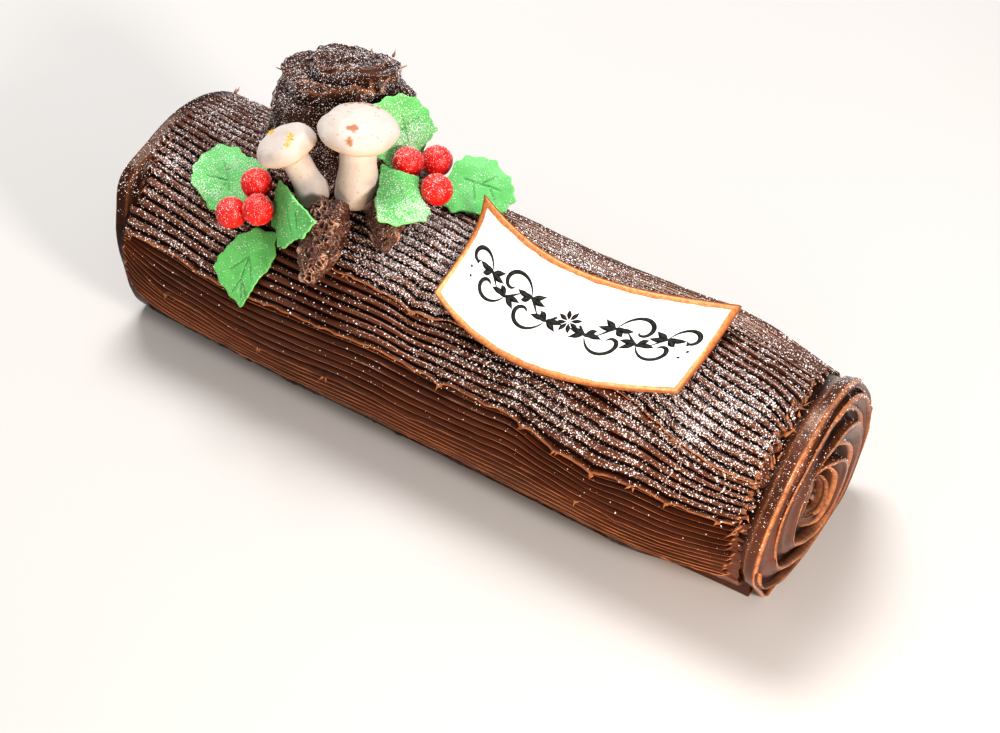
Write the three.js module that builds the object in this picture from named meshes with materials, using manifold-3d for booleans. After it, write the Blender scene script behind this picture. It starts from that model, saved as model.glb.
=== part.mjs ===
// A yule log cake: a rolled cake covered in combed chocolate ganache, with a
// swirled disc of ganache on each end, a sawn-off branch stump leaning up from
// its top, marzipan mushrooms, pine cones, holly leaves and berries, and a thin
// curved white plaque with a gilded rim.
//
// Millimetres, +Z up. The log lies along X with its deeper swirl at +X, the front
// is at -Y, and the origin is the middle of the flat underside. Round the log an
// angle of 0 is the back (+Y), 90 is the top and 180 is the front.

import * as THREE from 'three';
import { mergeVertices } from 'three/addons/utils/BufferGeometryUtils.js';
import Module from 'manifold-3d';

const wasm = await Module();
wasm.setup();

// ---------------------------------------------------------------- dimensions

const LOG_RADIUS = 54.3;
const LOG_AXIS_HEIGHT = 40;          // the log has settled on a flat, 73 mm wide
const LOG_LEFT = -157;
const LOG_RIGHT = 154;
const LOG_STATIONS = 16;             // rows of points along the log

const BOTTOM_ANGLE = THREE.MathUtils.radToDeg(Math.asin(LOG_AXIS_HEIGHT / LOG_RADIUS));
const UPPER_LIP = 160;               // where the top coat of ganache ends, degrees
const LOWER_LIP = 181;               // where the middle coat ends

// Each coat of ganache is drawn along the log with a toothed comb: the number of
// ridges, their half height, and how far the coat's lower lip stands proud.
const COATS = [
  { from: -BOTTOM_ANGLE, to: UPPER_LIP, ridges: 42, height: 0.75, lip: 1.3 },
  { from: UPPER_LIP, to: LOWER_LIP, ridges: 5, height: 0.85, lip: 1.0 },
  { from: LOWER_LIP, to: 180 + BOTTOM_ANGLE, ridges: 12, height: 0.55, lip: 0 },
];
const RIDGE = 0.8;                   // the highest comb line, away from the lips
const LIP = 1.3;                     // the most that a lip adds
const LIP_WIDTH = 12;                // degrees
const GAP = 0.3;                     // between pieces that touch

const RIGHT_CAP = {
  inside: 149, collar: 154.5, rim: 159.5, face: 162, outward: 1,
  radius: 54.4, centreY: -3, centreZ: 45, turns: 4.5, ridge: 2.6, eye: 3.5,
  rings: 16, spokes: 40,
  // how far the outline departs from a circle: [angle, width, change]
  dents: [[30, 38, -6], [325, 20, 2.5], [222, 36, -5]],
};
const LEFT_CAP = {
  inside: -150, collar: -154.5, rim: -159, face: -160.5, outward: -1,
  radius: 53.4, centreY: 2, centreZ: 42, turns: 3.5, ridge: 1.8, eye: 2.5,
  rings: 9, spokes: 40,
  dents: [[138, 12, 5.5], [191, 27, -6.8], [75, 50, -2.4]],
};

const STUMP = {
  top: new THREE.Vector3(-94, 32, 124.5),
  leanX: -0.326, leanY: 0.33,        // the axis, as its X and Y parts
  radius: 26, belly: 1.4, flare: 8, flareLength: 8, tightSide: -10,
  mound: 6, tilt: 1.8, fold: 2.2, turns: 2.5, flutes: 15, fluteDepth: 0.7,
  rimLip: 3, rimLipDepth: 6,       // the torn rim on its left
};

const PLAQUE = {
  x: 52.6, arc: -22.8,               // its middle: along the log, and round it from the top
  length: 111.2, width: 44.8, thickness: 2,
  sag: 12.8, skew: -2.8, turn: 5.1, fan: 1.1,
  lift: 3.6, edgeLift: 5.2, leftCurl: 6.4, leftPull: 4, rightCurl: 4,
};

const BERRY_RADIUS = 6.7;

const LEAF_THICKNESS = 1.3;
const BEND_WIDTH = 15;

// ------------------------------------------------------------ small functions

const rad = THREE.MathUtils.degToRad;
const smooth = (t) => THREE.MathUtils.smoothstep(t, 0, 1);
const bump = (value, centre, width) => Math.exp(-(((value - centre) / width) ** 2));
const fraction = (value) => value - Math.floor(value);

// A point at a place along the log, an angle round it and a distance from its axis.
function roundLog(x, angle, radius) {
  const y = radius * Math.cos(rad(angle));
  const z = LOG_AXIS_HEIGHT + radius * Math.sin(rad(angle));
  return new THREE.Vector3(x, y, z);
}

// A closed solid from points and triangles, turned so that its faces point out.
function solid(points, triangles) {
  const volume = triangles.reduce((sum, [a, b, c]) => {
    const cross = new THREE.Vector3().crossVectors(points[b], points[c]);
    return sum + points[a].dot(cross) / 6;
  }, 0);
  const facing = volume < 0 ? triangles.map(([a, b, c]) => [a, c, b]) : triangles;
  const geometry = new THREE.BufferGeometry().setFromPoints(points);
  geometry.setIndex(facing.flat());
  return geometry;
}

// A closed solid through a row of loops of points, with a fan over each end.
function loft(loops, startTip, endTip) {
  const count = loops[0].length;
  const points = loops.flat();
  const triangles = [];
  for (let row = 0; row + 1 < loops.length; row += 1) {
    for (let column = 0; column < count; column += 1) {
      const next = (column + 1) % count;
      const a = row * count + column;
      const b = row * count + next;
      triangles.push([a, b, b + count], [a, b + count, a + count]);
    }
  }
  const first = points.push(startTip) - 1;
  const last = points.push(endTip) - 1;
  const end = (loops.length - 1) * count;
  for (let column = 0; column < count; column += 1) {
    const next = (column + 1) % count;
    triangles.push([first, next, column], [last, end + column, end + next]);
  }
  return solid(points, triangles);
}

// A thin sheet: the same grid of triangles on both faces, joined round its edge.
function sheet(topGrid, bottomGrid) {
  const rows = topGrid.length;
  const columns = topGrid[0].length;
  const points = [...topGrid.flat(), ...bottomGrid.flat()];
  const under = rows * columns;
  const triangles = [];
  for (let row = 0; row + 1 < rows; row += 1) {
    for (let column = 0; column + 1 < columns; column += 1) {
      const a = row * columns + column;
      const [b, c, d] = [a + 1, a + columns + 1, a + columns];
      triangles.push([a, b, c], [a, c, d]);
      triangles.push([a + under, c + under, b + under], [a + under, d + under, c + under]);
    }
  }
  const edge = [];
  for (let column = 0; column < columns - 1; column += 1) edge.push(column);
  for (let row = 0; row < rows - 1; row += 1) edge.push(row * columns + columns - 1);
  for (let column = columns - 1; column > 0; column -= 1) edge.push((rows - 1) * columns + column);
  for (let row = rows - 1; row > 0; row -= 1) edge.push(row * columns);
  edge.forEach((a, index) => {
    const b = edge[(index + 1) % edge.length];
    triangles.push([a, a + under, b + under], [a, b + under, b]);
  });
  return solid(points, triangles);
}

function toManifold(geometry) {
  const bare = new THREE.BufferGeometry();
  bare.setAttribute('position', geometry.getAttribute('position'));
  bare.setIndex(geometry.getIndex());
  const merged = mergeVertices(bare, 1e-4);
  return new wasm.Manifold(new wasm.Mesh({
    numProp: 3,
    vertProperties: new Float32Array(merged.getAttribute('position').array),
    triVerts: new Uint32Array(merged.getIndex().array),
  }));
}

// Joins solids into one.
function join(...geometries) {
  const whole = geometries.map(toManifold).reduce((sum, next) => sum.add(next));
  const mesh = whole.getMesh();
  const geometry = new THREE.BufferGeometry();
  geometry.setAttribute('position', new THREE.BufferAttribute(mesh.vertProperties, 3));
  geometry.setIndex(new THREE.BufferAttribute(mesh.triVerts, 1));
  return geometry;
}

// --------------------------------------------------------------- the log body

// How far a comb line wanders round the log, in degrees, at a place along it.
function lineWander(x, angle) {
  const drop = 7 * smooth((x - 45) / 45) * bump(angle, 138, 24);
  const ripple = 1.1 * Math.sin(x / 38 + 1.3) + 0.7 * Math.sin(x / 17 + angle / 25);
  const fan = -9 * Math.exp(-(x - LOG_LEFT) / 14) * bump(angle, 190, 18);
  const fade = smooth((angle + BOTTOM_ANGLE) / 15) * smooth((180 + BOTTOM_ANGLE - angle) / 15);
  return (drop + ripple + fan) * fade;
}

// How far the log's surface lies inside a true cylinder. It narrows at both ends,
// more at the back than under the front, and swells a little in between.
function narrowing(x, angle) {
  const rightBack = 7 * smooth((x - 112) / 45) * bump(angle, 45, 34);
  const rightFront = 5.5 * smooth((x - 95) / 60) * bump(angle, 222, 40);
  const leftFront = 5.5 * smooth((-144 - x) / 13) * bump(angle, 196, 17);
  const leftBack = 2.6 * smooth((-90 - x) / 45) * bump(angle, 75, 50);
  const hollow = (1.3 * bump(x, 38, 30) - 1.4 * bump(x, 99, 15)) * bump(angle, 45, 34);
  const sag = 1.6 * bump(x, -75, 70) * bump(angle, 215, 30);
  return rightBack + rightFront + leftBack + leftFront + hollow - sag;
}

// The comb lines across one station: crests and troughs of every coat in turn.
function combLines() {
  const lines = [];
  for (const coat of COATS) {
    for (let index = 0; index < 2 * coat.ridges; index += 1) {
      const along = index / (2 * coat.ridges);
      const crest = index % 2 === 1;
      const angle = coat.from + along * (coat.to - coat.from);
      const proud = coat.lip * smooth((angle - coat.to) / LIP_WIDTH + 1);
      lines.push({ angle, height: (crest ? coat.height : -coat.height) + proud });
    }
  }
  lines[0].height = 0;
  lines.push({ angle: 180 + BOTTOM_ANGLE, height: 0 });
  return lines;
}

function logBody() {
  const lines = combLines();
  const loops = [];
  for (let station = 0; station <= LOG_STATIONS; station += 1) {
    const x = LOG_LEFT + (LOG_RIGHT - LOG_LEFT) * station / LOG_STATIONS;
    loops.push(lines.map(({ angle, height }) => {
      const radius = LOG_RADIUS + height - narrowing(x, angle);
      const point = roundLog(x, angle + lineWander(x, angle), radius);
      return point.setZ(Math.max(0, point.z));
    }));
  }
  const left = new THREE.Vector3(LOG_LEFT, 0, LOG_AXIS_HEIGHT);
  const right = new THREE.Vector3(LOG_RIGHT, 0, LOG_AXIS_HEIGHT);
  return loft(loops, left, right);
}

// ------------------------------------------------------- the swirled end caps

// The distance from a swirl's centre to its outline: a dented circle with a flat foot.
function capReach(cap, angle, radius) {
  const [dy, dz] = [Math.cos(angle), Math.sin(angle)];
  const [cy, cz] = [cap.centreY, cap.centreZ - LOG_AXIS_HEIGHT];
  const along = cy * dy + cz * dz;
  const circle = -along + Math.sqrt(along * along + radius * radius - cy * cy - cz * cz);
  const degrees = THREE.MathUtils.radToDeg(angle);
  const dented = cap.dents.reduce((sum, [at, width, change]) => sum + change * bump(degrees, at, width), circle);
  return dz < 0 ? Math.min(dented, cap.centreZ / -dz) : dented;
}

// One thin raised ribbon wound outwards from the eye, steep on its inner side.
function swirlRidge(cap, angle, share) {
  const phase = fraction(share * cap.turns + cap.outward * angle / (2 * Math.PI));
  const ribbon = phase < 0.75 ? phase / 0.75 : (1 - phase) / 0.25;
  const eye = -cap.eye * bump(share, 0, 0.07);
  const rimFade = 1 - smooth((share - 0.86) / 0.14);
  return (cap.ridge * (ribbon - 0.4) + eye) * rimFade;
}

function endCap(cap) {
  const ring = (share, x, grow) => {
    const loop = [];
    for (let spoke = 0; spoke < cap.spokes; spoke += 1) {
      const angle = 2 * Math.PI * spoke / cap.spokes;
      const reach = capReach(cap, angle, cap.radius + grow);
      const height = typeof x === 'number' ? x : x(angle);
      const y = cap.centreY + share * reach * Math.cos(angle);
      const z = cap.centreZ + share * reach * Math.sin(angle);
      loop.push(new THREE.Vector3(height, y, Math.max(0, z)));
    }
    return loop;
  };
  const loops = [ring(0.9, cap.inside, -1), ring(1, cap.inside, -1)];
  loops.push(ring(1, cap.collar, 0), ring(1, (cap.collar + cap.rim) / 2, 0.9), ring(1, cap.rim, 0.5));
  for (let index = cap.rings - 1; index > 0; index -= 1) {
    const share = index / cap.rings;
    const crown = (cap.face - cap.rim) * smooth((1 - share) / 0.2);
    const x = (angle) => cap.rim + crown + cap.outward * swirlRidge(cap, angle, share);
    loops.push(ring(share, x, 0));
  }
  const inner = new THREE.Vector3(cap.inside, cap.centreY, cap.centreZ);
  const eye = new THREE.Vector3(cap.face - cap.outward * cap.eye, cap.centreY, cap.centreZ);
  return loft(loops, inner, eye);
}

// -------------------------------------------------------------------- the stump

function stumpFrame() {
  const { leanX, leanY } = STUMP;
  const axis = new THREE.Vector3(leanX, leanY, Math.sqrt(1 - leanX * leanX - leanY * leanY));
  const side = new THREE.Vector3(1, 0, 0).addScaledVector(axis, -leanX).normalize();
  const back = new THREE.Vector3().crossVectors(axis, side);
  return { axis, side, back };
}

// A point of the stump, from its radius, its angle and its depth below the rim.
function stumpPoint({ axis, side, back }, radius, angle, depth) {
  return STUMP.top.clone()
    .addScaledVector(side, radius * Math.cos(angle))
    .addScaledVector(back, radius * Math.sin(angle))
    .addScaledVector(axis, -depth);
}

// How deep below the rim a line down the stump's side meets the log.
function depthAtLog(frame, angle) {
  const start = stumpPoint(frame, STUMP.radius, angle, 0);
  const [y, z] = [start.y, start.z - LOG_AXIS_HEIGHT];
  const a = frame.axis.y ** 2 + frame.axis.z ** 2;
  const b = -(y * frame.axis.y + z * frame.axis.z);
  const c = y * y + z * z - LOG_RADIUS ** 2;
  return (-b - Math.sqrt(Math.max(0, b * b - a * c))) / a;
}

function stump() {
  const frame = stumpFrame();
  const around = 44;
  const loop = (place) => Array.from({ length: around }, (_, index) => {
    const angle = 2 * Math.PI * index / around;
    const { radius, depth } = place(angle);
    return stumpPoint(frame, radius, angle, depth);
  });
  const topRing = (share) => loop((angle) => {
    const phase = fraction(share * STUMP.turns - angle / (2 * Math.PI));
    const fold = STUMP.fold * (phase - 0.4) * (1 - smooth((share - 0.8) / 0.2));
    const depth = STUMP.tilt * share * Math.cos(angle) - STUMP.mound * (1 - share * share) - fold;
    return { radius: STUMP.radius * share, depth };
  });
  const sideRing = (share) => loop((angle) => {
    const foot = depthAtLog(frame, angle);
    const top = 2 + STUMP.tilt * Math.cos(angle);
    const depth = top + (foot - top) * share;
    const flute = STUMP.fluteDepth * Math.sin(STUMP.flutes * angle) * smooth(share * 3);
    const away = 0.5 - 0.5 * Math.cos(angle - rad(STUMP.tightSide));
    const flare = STUMP.flare * away * Math.exp(-(foot - depth) / STUMP.flareLength);
    const lip = STUMP.rimLip * (0.5 - 0.5 * Math.cos(angle)) * bump(depth, 3, STUMP.rimLipDepth);
    const belly = STUMP.belly * Math.sin(Math.PI * share);
    return { radius: STUMP.radius + belly + flute + flare + lip, depth };
  });
  const rootRing = loop((angle) => ({ radius: STUMP.radius * 0.7, depth: depthAtLog(frame, angle) + 14 }));
  const loops = [];
  for (const share of [0.12, 0.24, 0.36, 0.48, 0.6, 0.72, 0.84, 0.95]) loops.push(topRing(share));
  for (const share of [0, 0.15, 0.35, 0.55, 0.75, 0.9, 1]) loops.push(sideRing(share));
  loops.push(rootRing);
  const root = STUMP.top.clone().addScaledVector(frame.axis, -75);
  return loft(loops, stumpPoint(frame, 0, 0, -STUMP.mound), root);
}

// -------------------------------------------------------------------- the plaque

// A point of the plaque: s runs along it and t across it, both from -1 to 1.
function plaquePoint(s, t, above) {
  const leftCorner = (Math.max(0, t - s - 0.5) / 1.5) ** 2;
  const rightCorner = (Math.max(0, t + s - 0.5) / 1.5) ** 2;
  const x = PLAQUE.x + s * PLAQUE.length / 2 + PLAQUE.fan * s * t - PLAQUE.leftPull * leftCorner;
  const arc = PLAQUE.arc + t * PLAQUE.width / 2 + PLAQUE.sag * s * s + PLAQUE.turn * s + PLAQUE.skew * s ** 3;
  const curl = PLAQUE.leftCurl * leftCorner + PLAQUE.rightCurl * rightCorner;
  const lift = PLAQUE.lift + PLAQUE.edgeLift * t * t + curl;
  const angle = 90 - THREE.MathUtils.radToDeg(arc / (LOG_RADIUS + 4));
  return roundLog(x, angle, LOG_RADIUS + lift + above);
}

function plaque() {
  const [long, short] = [16, 6];
  const grid = (above) => Array.from({ length: short + 1 }, (_, row) => (
    Array.from({ length: long + 1 }, (__, column) => (
      plaquePoint(2 * column / long - 1, 2 * row / short - 1, above)
    ))
  ));
  return sheet(grid(0), grid(-PLAQUE.thickness));
}

// ------------------------------------------------------------ the sugar toppings

// The highest that the log's surface gets at an angle round it.
function ridgeTop(angle) {
  return LOG_RADIUS + RIDGE + LIP * smooth((angle - 144) / 10);
}

// Moves a point straight out from the log's axis until it clears the ridges.
function clearOfLog(point, clearance) {
  const out = new THREE.Vector2(point.y, point.z - LOG_AXIS_HEIGHT);
  const least = ridgeTop(THREE.MathUtils.radToDeg(out.angle())) + clearance;
  if (out.length() < least) out.setLength(least);
  return point.set(point.x, out.x, out.y + LOG_AXIS_HEIGHT);
}

// Turns +Z of a geometry towards a direction and sets it at a place.
function stand(geometry, place, direction) {
  const turn = new THREE.Quaternion().setFromUnitVectors(
    new THREE.Vector3(0, 0, 1), direction.clone().normalize());
  return geometry.applyQuaternion(turn).translate(place.x, place.y, place.z);
}

// A solid of revolution about Z from [radius, height] pairs, closed on the axis.
function turned(profile, segments) {
  const points = profile.map(([radius, height]) => new THREE.Vector2(radius, height));
  const lathe = new THREE.LatheGeometry(points, segments).rotateX(Math.PI / 2);
  lathe.deleteAttribute('normal');
  lathe.deleteAttribute('uv');
  return mergeVertices(lathe, 1e-4);
}

// A mushroom cap: a dome over a nearly flat underside, its rim at height 0.
function mushroomCap(radius, dome, dip) {
  const profile = [[0, -dip], [radius * 0.55, -dip], [radius * 0.88, -dip * 0.8]];
  for (let step = 0; step <= 6; step += 1) {
    const angle = rad(-8 + 98 * step / 6);
    profile.push([step === 6 ? 0 : radius * Math.cos(angle), dome * Math.sin(angle)]);
  }
  return turned(profile, 20);
}

// A mushroom stem: waisted, and swollen at its foot.
function mushroomStem(top, waist, foot, length) {
  return turned([
    [0, 0], [foot * 0.8, 0], [foot, length * 0.1], [waist, length * 0.5],
    [waist * 1.02, length * 0.8], [top, length], [0, length],
  ], 14);
}

// A pine cone, tip at +Z: rows of scales in turn, each standing out at its end.
function pineCone(length, radius, rows, scales) {
  const around = 20;
  const loops = [];
  for (let row = 0; row < rows; row += 1) {
    const share = (row + 0.5) / rows;
    const belly = radius * Math.sin(Math.PI * (0.12 + 0.83 * share) ** 0.8) ** 0.75;
    loops.push(Array.from({ length: around }, (_, index) => {
      const angle = 2 * Math.PI * index / around;
      const scale = Math.cos(scales * angle + Math.PI * row);
      const reach = belly * (0.93 + 0.09 * scale);
      return new THREE.Vector3(reach * Math.cos(angle), reach * Math.sin(angle),
        length * (share - 0.5) + 0.9 * scale);
    }));
  }
  const half = length / 2;
  return loft(loops, new THREE.Vector3(0, 0, -half), new THREE.Vector3(0, 0, half));
}

// The outline of a leaf from its lobes, each an angle from the leaf's tip and a
// reach, with the edge drawn in a little between one lobe and the next.
function leafOutline(lobes) {
  return lobes.flatMap(([angle, reach], index) => {
    const [next, nextReach] = lobes[(index + 1) % lobes.length];
    const span = fraction((next - angle) / 360) * 360;
    return [[angle, reach], [angle + span / 2, (reach + nextReach) / 2 * 0.95]];
  });
}

// A leaf as a closed sheet; place(u, v, share, angle, above) gives a point of it.
function leafSolid(lobes, place) {
  const outline = leafOutline(lobes);
  const loop = (share, above) => outline.map(([angle, reach]) => {
    const [u, v] = [Math.cos(rad(angle)), Math.sin(rad(angle))];
    return place(share * reach * u, share * reach * v, share, angle, above);
  });
  const top = place(0, 0, 0, 0, LEAF_THICKNESS);
  const loops = [loop(0.5, LEAF_THICKNESS), loop(1, LEAF_THICKNESS), loop(1, 0), loop(0.5, 0)];
  return loft(loops, top, place(0, 0, 0, 0, 0));
}

// A leaf that lies along the log's curve, its edge lifting a little here and there.
function drapedLeaf({ x, angle, turn, lobes, lift }) {
  return leafSolid(lobes, (u, v, share, lobe, above) => {
    const along = u * Math.cos(rad(turn)) - v * Math.sin(rad(turn));
    const arc = u * Math.sin(rad(turn)) + v * Math.cos(rad(turn));
    const place = angle - THREE.MathUtils.radToDeg(arc / (LOG_RADIUS + 3));
    const rise = lift * share ** 2 * (1 + Math.sin(rad(3 * lobe))) / 2;
    return roundLog(x + along, place, ridgeTop(place) + GAP + rise + above);
  });
}

// A leaf that stands or leans on its neighbours, in a plane of its own. The half
// on the left of its tip may be bent back.
function proppedLeaf({ centre, normal, tip, lobes, cup, wave, bend = [0, 0, 0] }) {
  const up = new THREE.Vector3(...normal).normalize();
  const forward = new THREE.Vector3(...tip);
  forward.addScaledVector(up, -up.dot(forward)).normalize();
  const across = new THREE.Vector3().crossVectors(up, forward);
  return leafSolid(lobes, (u, v, share, lobe, above) => {
    const height = (cup + wave * Math.sin(rad(3 * lobe))) * share ** 2 + above;
    const point = new THREE.Vector3(...centre)
      .addScaledVector(forward, u).addScaledVector(across, v).addScaledVector(up, height)
      .addScaledVector(new THREE.Vector3(...bend), (Math.max(0, -v) / BEND_WIDTH) ** 1.5);
    return clearOfLog(point, GAP + above);
  });
}

const DRAPED_LEAVES = {
  leaf_left_round: {
    x: -114.4, angle: 117, turn: -91, lift: 1.2,
    lobes: [[2, 14.8], [24, 16.4], [51, 17.3], [78, 16.9], [113, 17.2], [135, 20.2], [170, 13.8],
      [195, 17.2], [222, 19], [254, 16.6], [273, 16.4], [300, 15.4], [337, 12.5]],
  },
  leaf_left_long: {
    x: -87.3, angle: 147.9, turn: -83, lift: 0.8,
    lobes: [[0, 17.8], [27, 10.5], [69, 7.8], [99, 10.3], [128, 15.6], [153, 20.5], [180, 18],
      [210, 15], [240, 13], [265, 14.2], [283, 15.6], [310, 15], [340, 15.7]],
  },
};

const PROPPED_LEAVES = {
  leaf_left_folded: {
    centre: [-70.4, -37.6, 101], normal: [-0.4, -0.85, 0.36], tip: [0.07, -0.41, -0.91],
    cup: 0, wave: 0.4, bend: [-2.8, 5, -6],
    lobes: [[0, 15.2], [36, 11.1], [65, 13.6], [85, 14.8], [101, 18.6], [113, 13.1], [144, 8.4],
      [192, 8.3], [217, 12.6], [229, 17], [248, 16], [259, 13.4], [278, 12.8], [291, 16.2],
      [307, 15.8], [323, 12.9], [343, 17.2]],
  },
  leaf_right_back: {
    centre: [-54, 21.8, 114], normal: [0.75, -0.45, 0.48], tip: [-0.3, 0.42, 0.86],
    cup: -0.8, wave: 0.8,
    lobes: [[8, 15.6], [32, 17], [54, 18.8], [101, 17], [129, 17.4], [150, 17.4], [176, 23],
      [203, 15.5], [229, 12.2], [249, 12.6], [269, 14.9], [284, 12.8], [305, 13.4], [336, 14.2]],
  },
  leaf_right_end: {
    centre: [-16.1, 21.4, 101.8], normal: [0.1, -0.45, 0.89], tip: [0.99, 0.1, -0.06],
    cup: -0.8, wave: 0.7,
    lobes: [[0, 17.3], [18, 15], [38, 13.9], [62, 11.6], [84, 13.7], [110, 13.6], [138, 15.2],
      [158, 15.2], [194, 14.6], [230, 18], [252, 17.4], [266, 13.4], [306, 14], [339, 16.2]],
  },
  leaf_right_front: {
    centre: [-34.7, -9.5, 106.7], normal: [0.34, 0.11, 0.93], tip: [0.79, -0.57, -0.22],
    cup: -0.6, wave: 0.3,
    lobes: [[0, 12.3], [29, 13.7], [54, 13.2], [88, 9.8], [120, 11.4], [132, 17], [169, 15.8],
      [186, 19.6], [214, 12], [238, 10.8], [270, 12.8], [306, 18.3], [329, 15.6]],
  },
};

// Berries by their place along the log, angle round it and distance from its axis.
const BERRIES = {
  berry_left_top: [-95.8, 115.3, 64.3],
  berry_left_front: [-99.3, 129.4, 64.4],
  berry_left_right: [-87.7, 124.4, 66.2],
  berry_right_left: [-45.4, 80.5, 68.2],
  berry_right_back: [-39, 69.1, 67.2],
  berry_right_front: [-26.3, 86.5, 66.9],
};
// Where the wires of the right-hand berries meet.
const WIRE_FOOT = [-44, 66, LOG_RADIUS + RIDGE + 1.5];
const WIRE_RADIUS = 0.5;

const LARGE_MUSHROOM = { foot: [-55.6, -11.5], lean: [-0.04, 0.1, 1], length: 33, cap: 17, dome: 9 };
const SMALL_MUSHROOM = { foot: [-70.6, -19], lean: [-0.48, -0.1, 1], length: 25, cap: 13, dome: 8.5 };

// Pine cones by place, direction of the tip, length and greatest radius.
const CONES = {
  cone_large: { place: [-56, 125, 64.3], towards: [6, -27, -20], length: 36, radius: 9.7 },
  cone_small: { place: [-36.8, 107, 62], towards: [13, -20, -8], length: 27, radius: 7.2 },
};

// ---------------------------------------------------------------- the cake itself

const COLOURS = {
  ganache: 0x3a2018, leaf: 0x3fae52, berry: 0xc8201f,
  mushroom: 0xf1e6d8, cone: 0x3b2219, plaque: 0xf6f3ec, wire: 0x6f7f6a,
};

const cake = new THREE.Group();

function add(name, geometry, colour, roughness) {
  const material = new THREE.MeshStandardMaterial({ color: colour, roughness, metalness: 0 });
  const mesh = new THREE.Mesh(geometry, material);
  mesh.name = name;
  cake.add(mesh);
}

function mushroom(name, { foot, lean, length, cap, dome }) {
  const [x, y] = foot;
  const footRadius = cap * 0.5;
  const dip = cap * 0.12;
  const direction = new THREE.Vector3(...lean).normalize();
  const level = LOG_AXIS_HEIGHT + Math.sqrt((LOG_RADIUS + RIDGE) ** 2 - y * y);
  const steepness = Math.hypot(direction.x, direction.y - y / LOG_RADIUS);
  const base = new THREE.Vector3(x, y, level + GAP + footRadius * steepness);
  const stem = mushroomStem(cap * 0.42, cap * 0.38, footRadius, length);
  add(`${name}_stem`, stand(stem, base, direction), COLOURS.mushroom, 0.7);
  const seat = base.clone().addScaledVector(direction, length + dip + GAP);
  add(`${name}_cap`, stand(mushroomCap(cap, dome, dip), seat, direction), COLOURS.mushroom, 0.7);
}

// One wire: a thin tube from a berry down to where the wires meet.
function wire(berry, foot) {
  const start = berry.clone().lerp(foot, (BERRY_RADIUS + GAP) / berry.distanceTo(foot));
  const outline = new THREE.Shape().absarc(0, 0, WIRE_RADIUS, 0, 2 * Math.PI);
  const tube = new THREE.ExtrudeGeometry(outline, {
    extrudePath: new THREE.LineCurve3(start, foot), steps: 1, curveSegments: 3,
  });
  tube.deleteAttribute('normal');
  tube.deleteAttribute('uv');
  return mergeVertices(tube, 1e-4);
}

add('log', join(logBody(), endCap(RIGHT_CAP), endCap(LEFT_CAP), stump()), COLOURS.ganache, 0.5);

for (const [name, shape] of Object.entries(DRAPED_LEAVES)) add(name, drapedLeaf(shape), COLOURS.leaf, 0.6);
for (const [name, shape] of Object.entries(PROPPED_LEAVES)) add(name, proppedLeaf(shape), COLOURS.leaf, 0.6);

const wires = [];
for (const [name, place] of Object.entries(BERRIES)) {
  const centre = roundLog(...place);
  const ball = new THREE.SphereGeometry(BERRY_RADIUS, 10, 7);
  add(name, ball.translate(centre.x, centre.y, centre.z), COLOURS.berry, 0.45);
  if (name.includes('right_') && !name.includes('left_')) wires.push(wire(centre, roundLog(...WIRE_FOOT)));
}
add('berry_wires', join(...wires), COLOURS.wire, 0.5);

mushroom('mushroom_large', LARGE_MUSHROOM);
mushroom('mushroom_small', SMALL_MUSHROOM);

for (const [name, { place, towards, length, radius }] of Object.entries(CONES)) {
  const cone = pineCone(length, radius, 12, 5);
  add(name, stand(cone, roundLog(...place), new THREE.Vector3(...towards)), COLOURS.cone, 0.7);
}

add('plaque', plaque(), COLOURS.plaque, 0.4);

export default cake;
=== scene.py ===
import math

import bpy
import numpy as np
from mathutils import Matrix, Vector


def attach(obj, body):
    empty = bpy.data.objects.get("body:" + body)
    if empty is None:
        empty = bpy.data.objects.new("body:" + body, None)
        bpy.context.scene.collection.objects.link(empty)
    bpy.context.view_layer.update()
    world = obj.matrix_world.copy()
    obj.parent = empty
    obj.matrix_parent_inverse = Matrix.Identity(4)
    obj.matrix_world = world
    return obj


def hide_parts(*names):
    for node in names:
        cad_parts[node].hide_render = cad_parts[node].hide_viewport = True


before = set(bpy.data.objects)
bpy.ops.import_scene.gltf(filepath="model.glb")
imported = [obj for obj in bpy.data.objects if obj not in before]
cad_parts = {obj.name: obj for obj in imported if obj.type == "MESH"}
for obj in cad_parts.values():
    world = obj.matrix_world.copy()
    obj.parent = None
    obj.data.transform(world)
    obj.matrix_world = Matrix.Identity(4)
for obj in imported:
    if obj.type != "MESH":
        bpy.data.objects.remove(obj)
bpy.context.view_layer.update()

MM = 0.001
BODY = "root"
random = np.random.default_rng(24)

# ------------------------------------------------------------------ the camera

CAMERA_PLACE = Vector((0.2899, -0.5037, 0.6146))
CAMERA_AZIMUTH, CAMERA_ELEVATION, CAMERA_ROLL = 28.924, 45.579, 4.008
LENS, SENSOR = 67.9, 36.0


def make_camera():
    """Puts the camera where the picture is taken from."""
    data = bpy.data.cameras.new("camera")
    data.lens = LENS
    data.sensor_width = SENSOR
    camera = bpy.data.objects.new("camera", data)
    bpy.context.scene.collection.objects.link(camera)
    azimuth, elevation = math.radians(CAMERA_AZIMUTH), math.radians(CAMERA_ELEVATION)
    back = Vector((
        math.sin(azimuth) * math.cos(elevation),
        -math.cos(azimuth) * math.cos(elevation),
        math.sin(elevation),
    ))
    level = (-back).to_track_quat("-Z", "Y").to_matrix()
    roll = Matrix.Rotation(math.radians(CAMERA_ROLL), 3, "Z")
    camera.matrix_world = Matrix.Translation(CAMERA_PLACE) @ (level @ roll).to_4x4()
    bpy.context.scene.camera = camera


make_camera()

# ------------------------------------------------------------- small functions

HASH_FACTORS = np.array([73856093, 19349663, 83492791])


def smooth(t):
    t = np.clip(t, 0, 1)
    return t * t * (3 - 2 * t)


def rise(value, start, end):
    """Goes smoothly from 0 where value is start to 1 where it is end."""
    return smooth((value - start) / (end - start))


def bump(value, centre, width):
    return np.exp(-(((value - centre) / width) ** 2))


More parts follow.
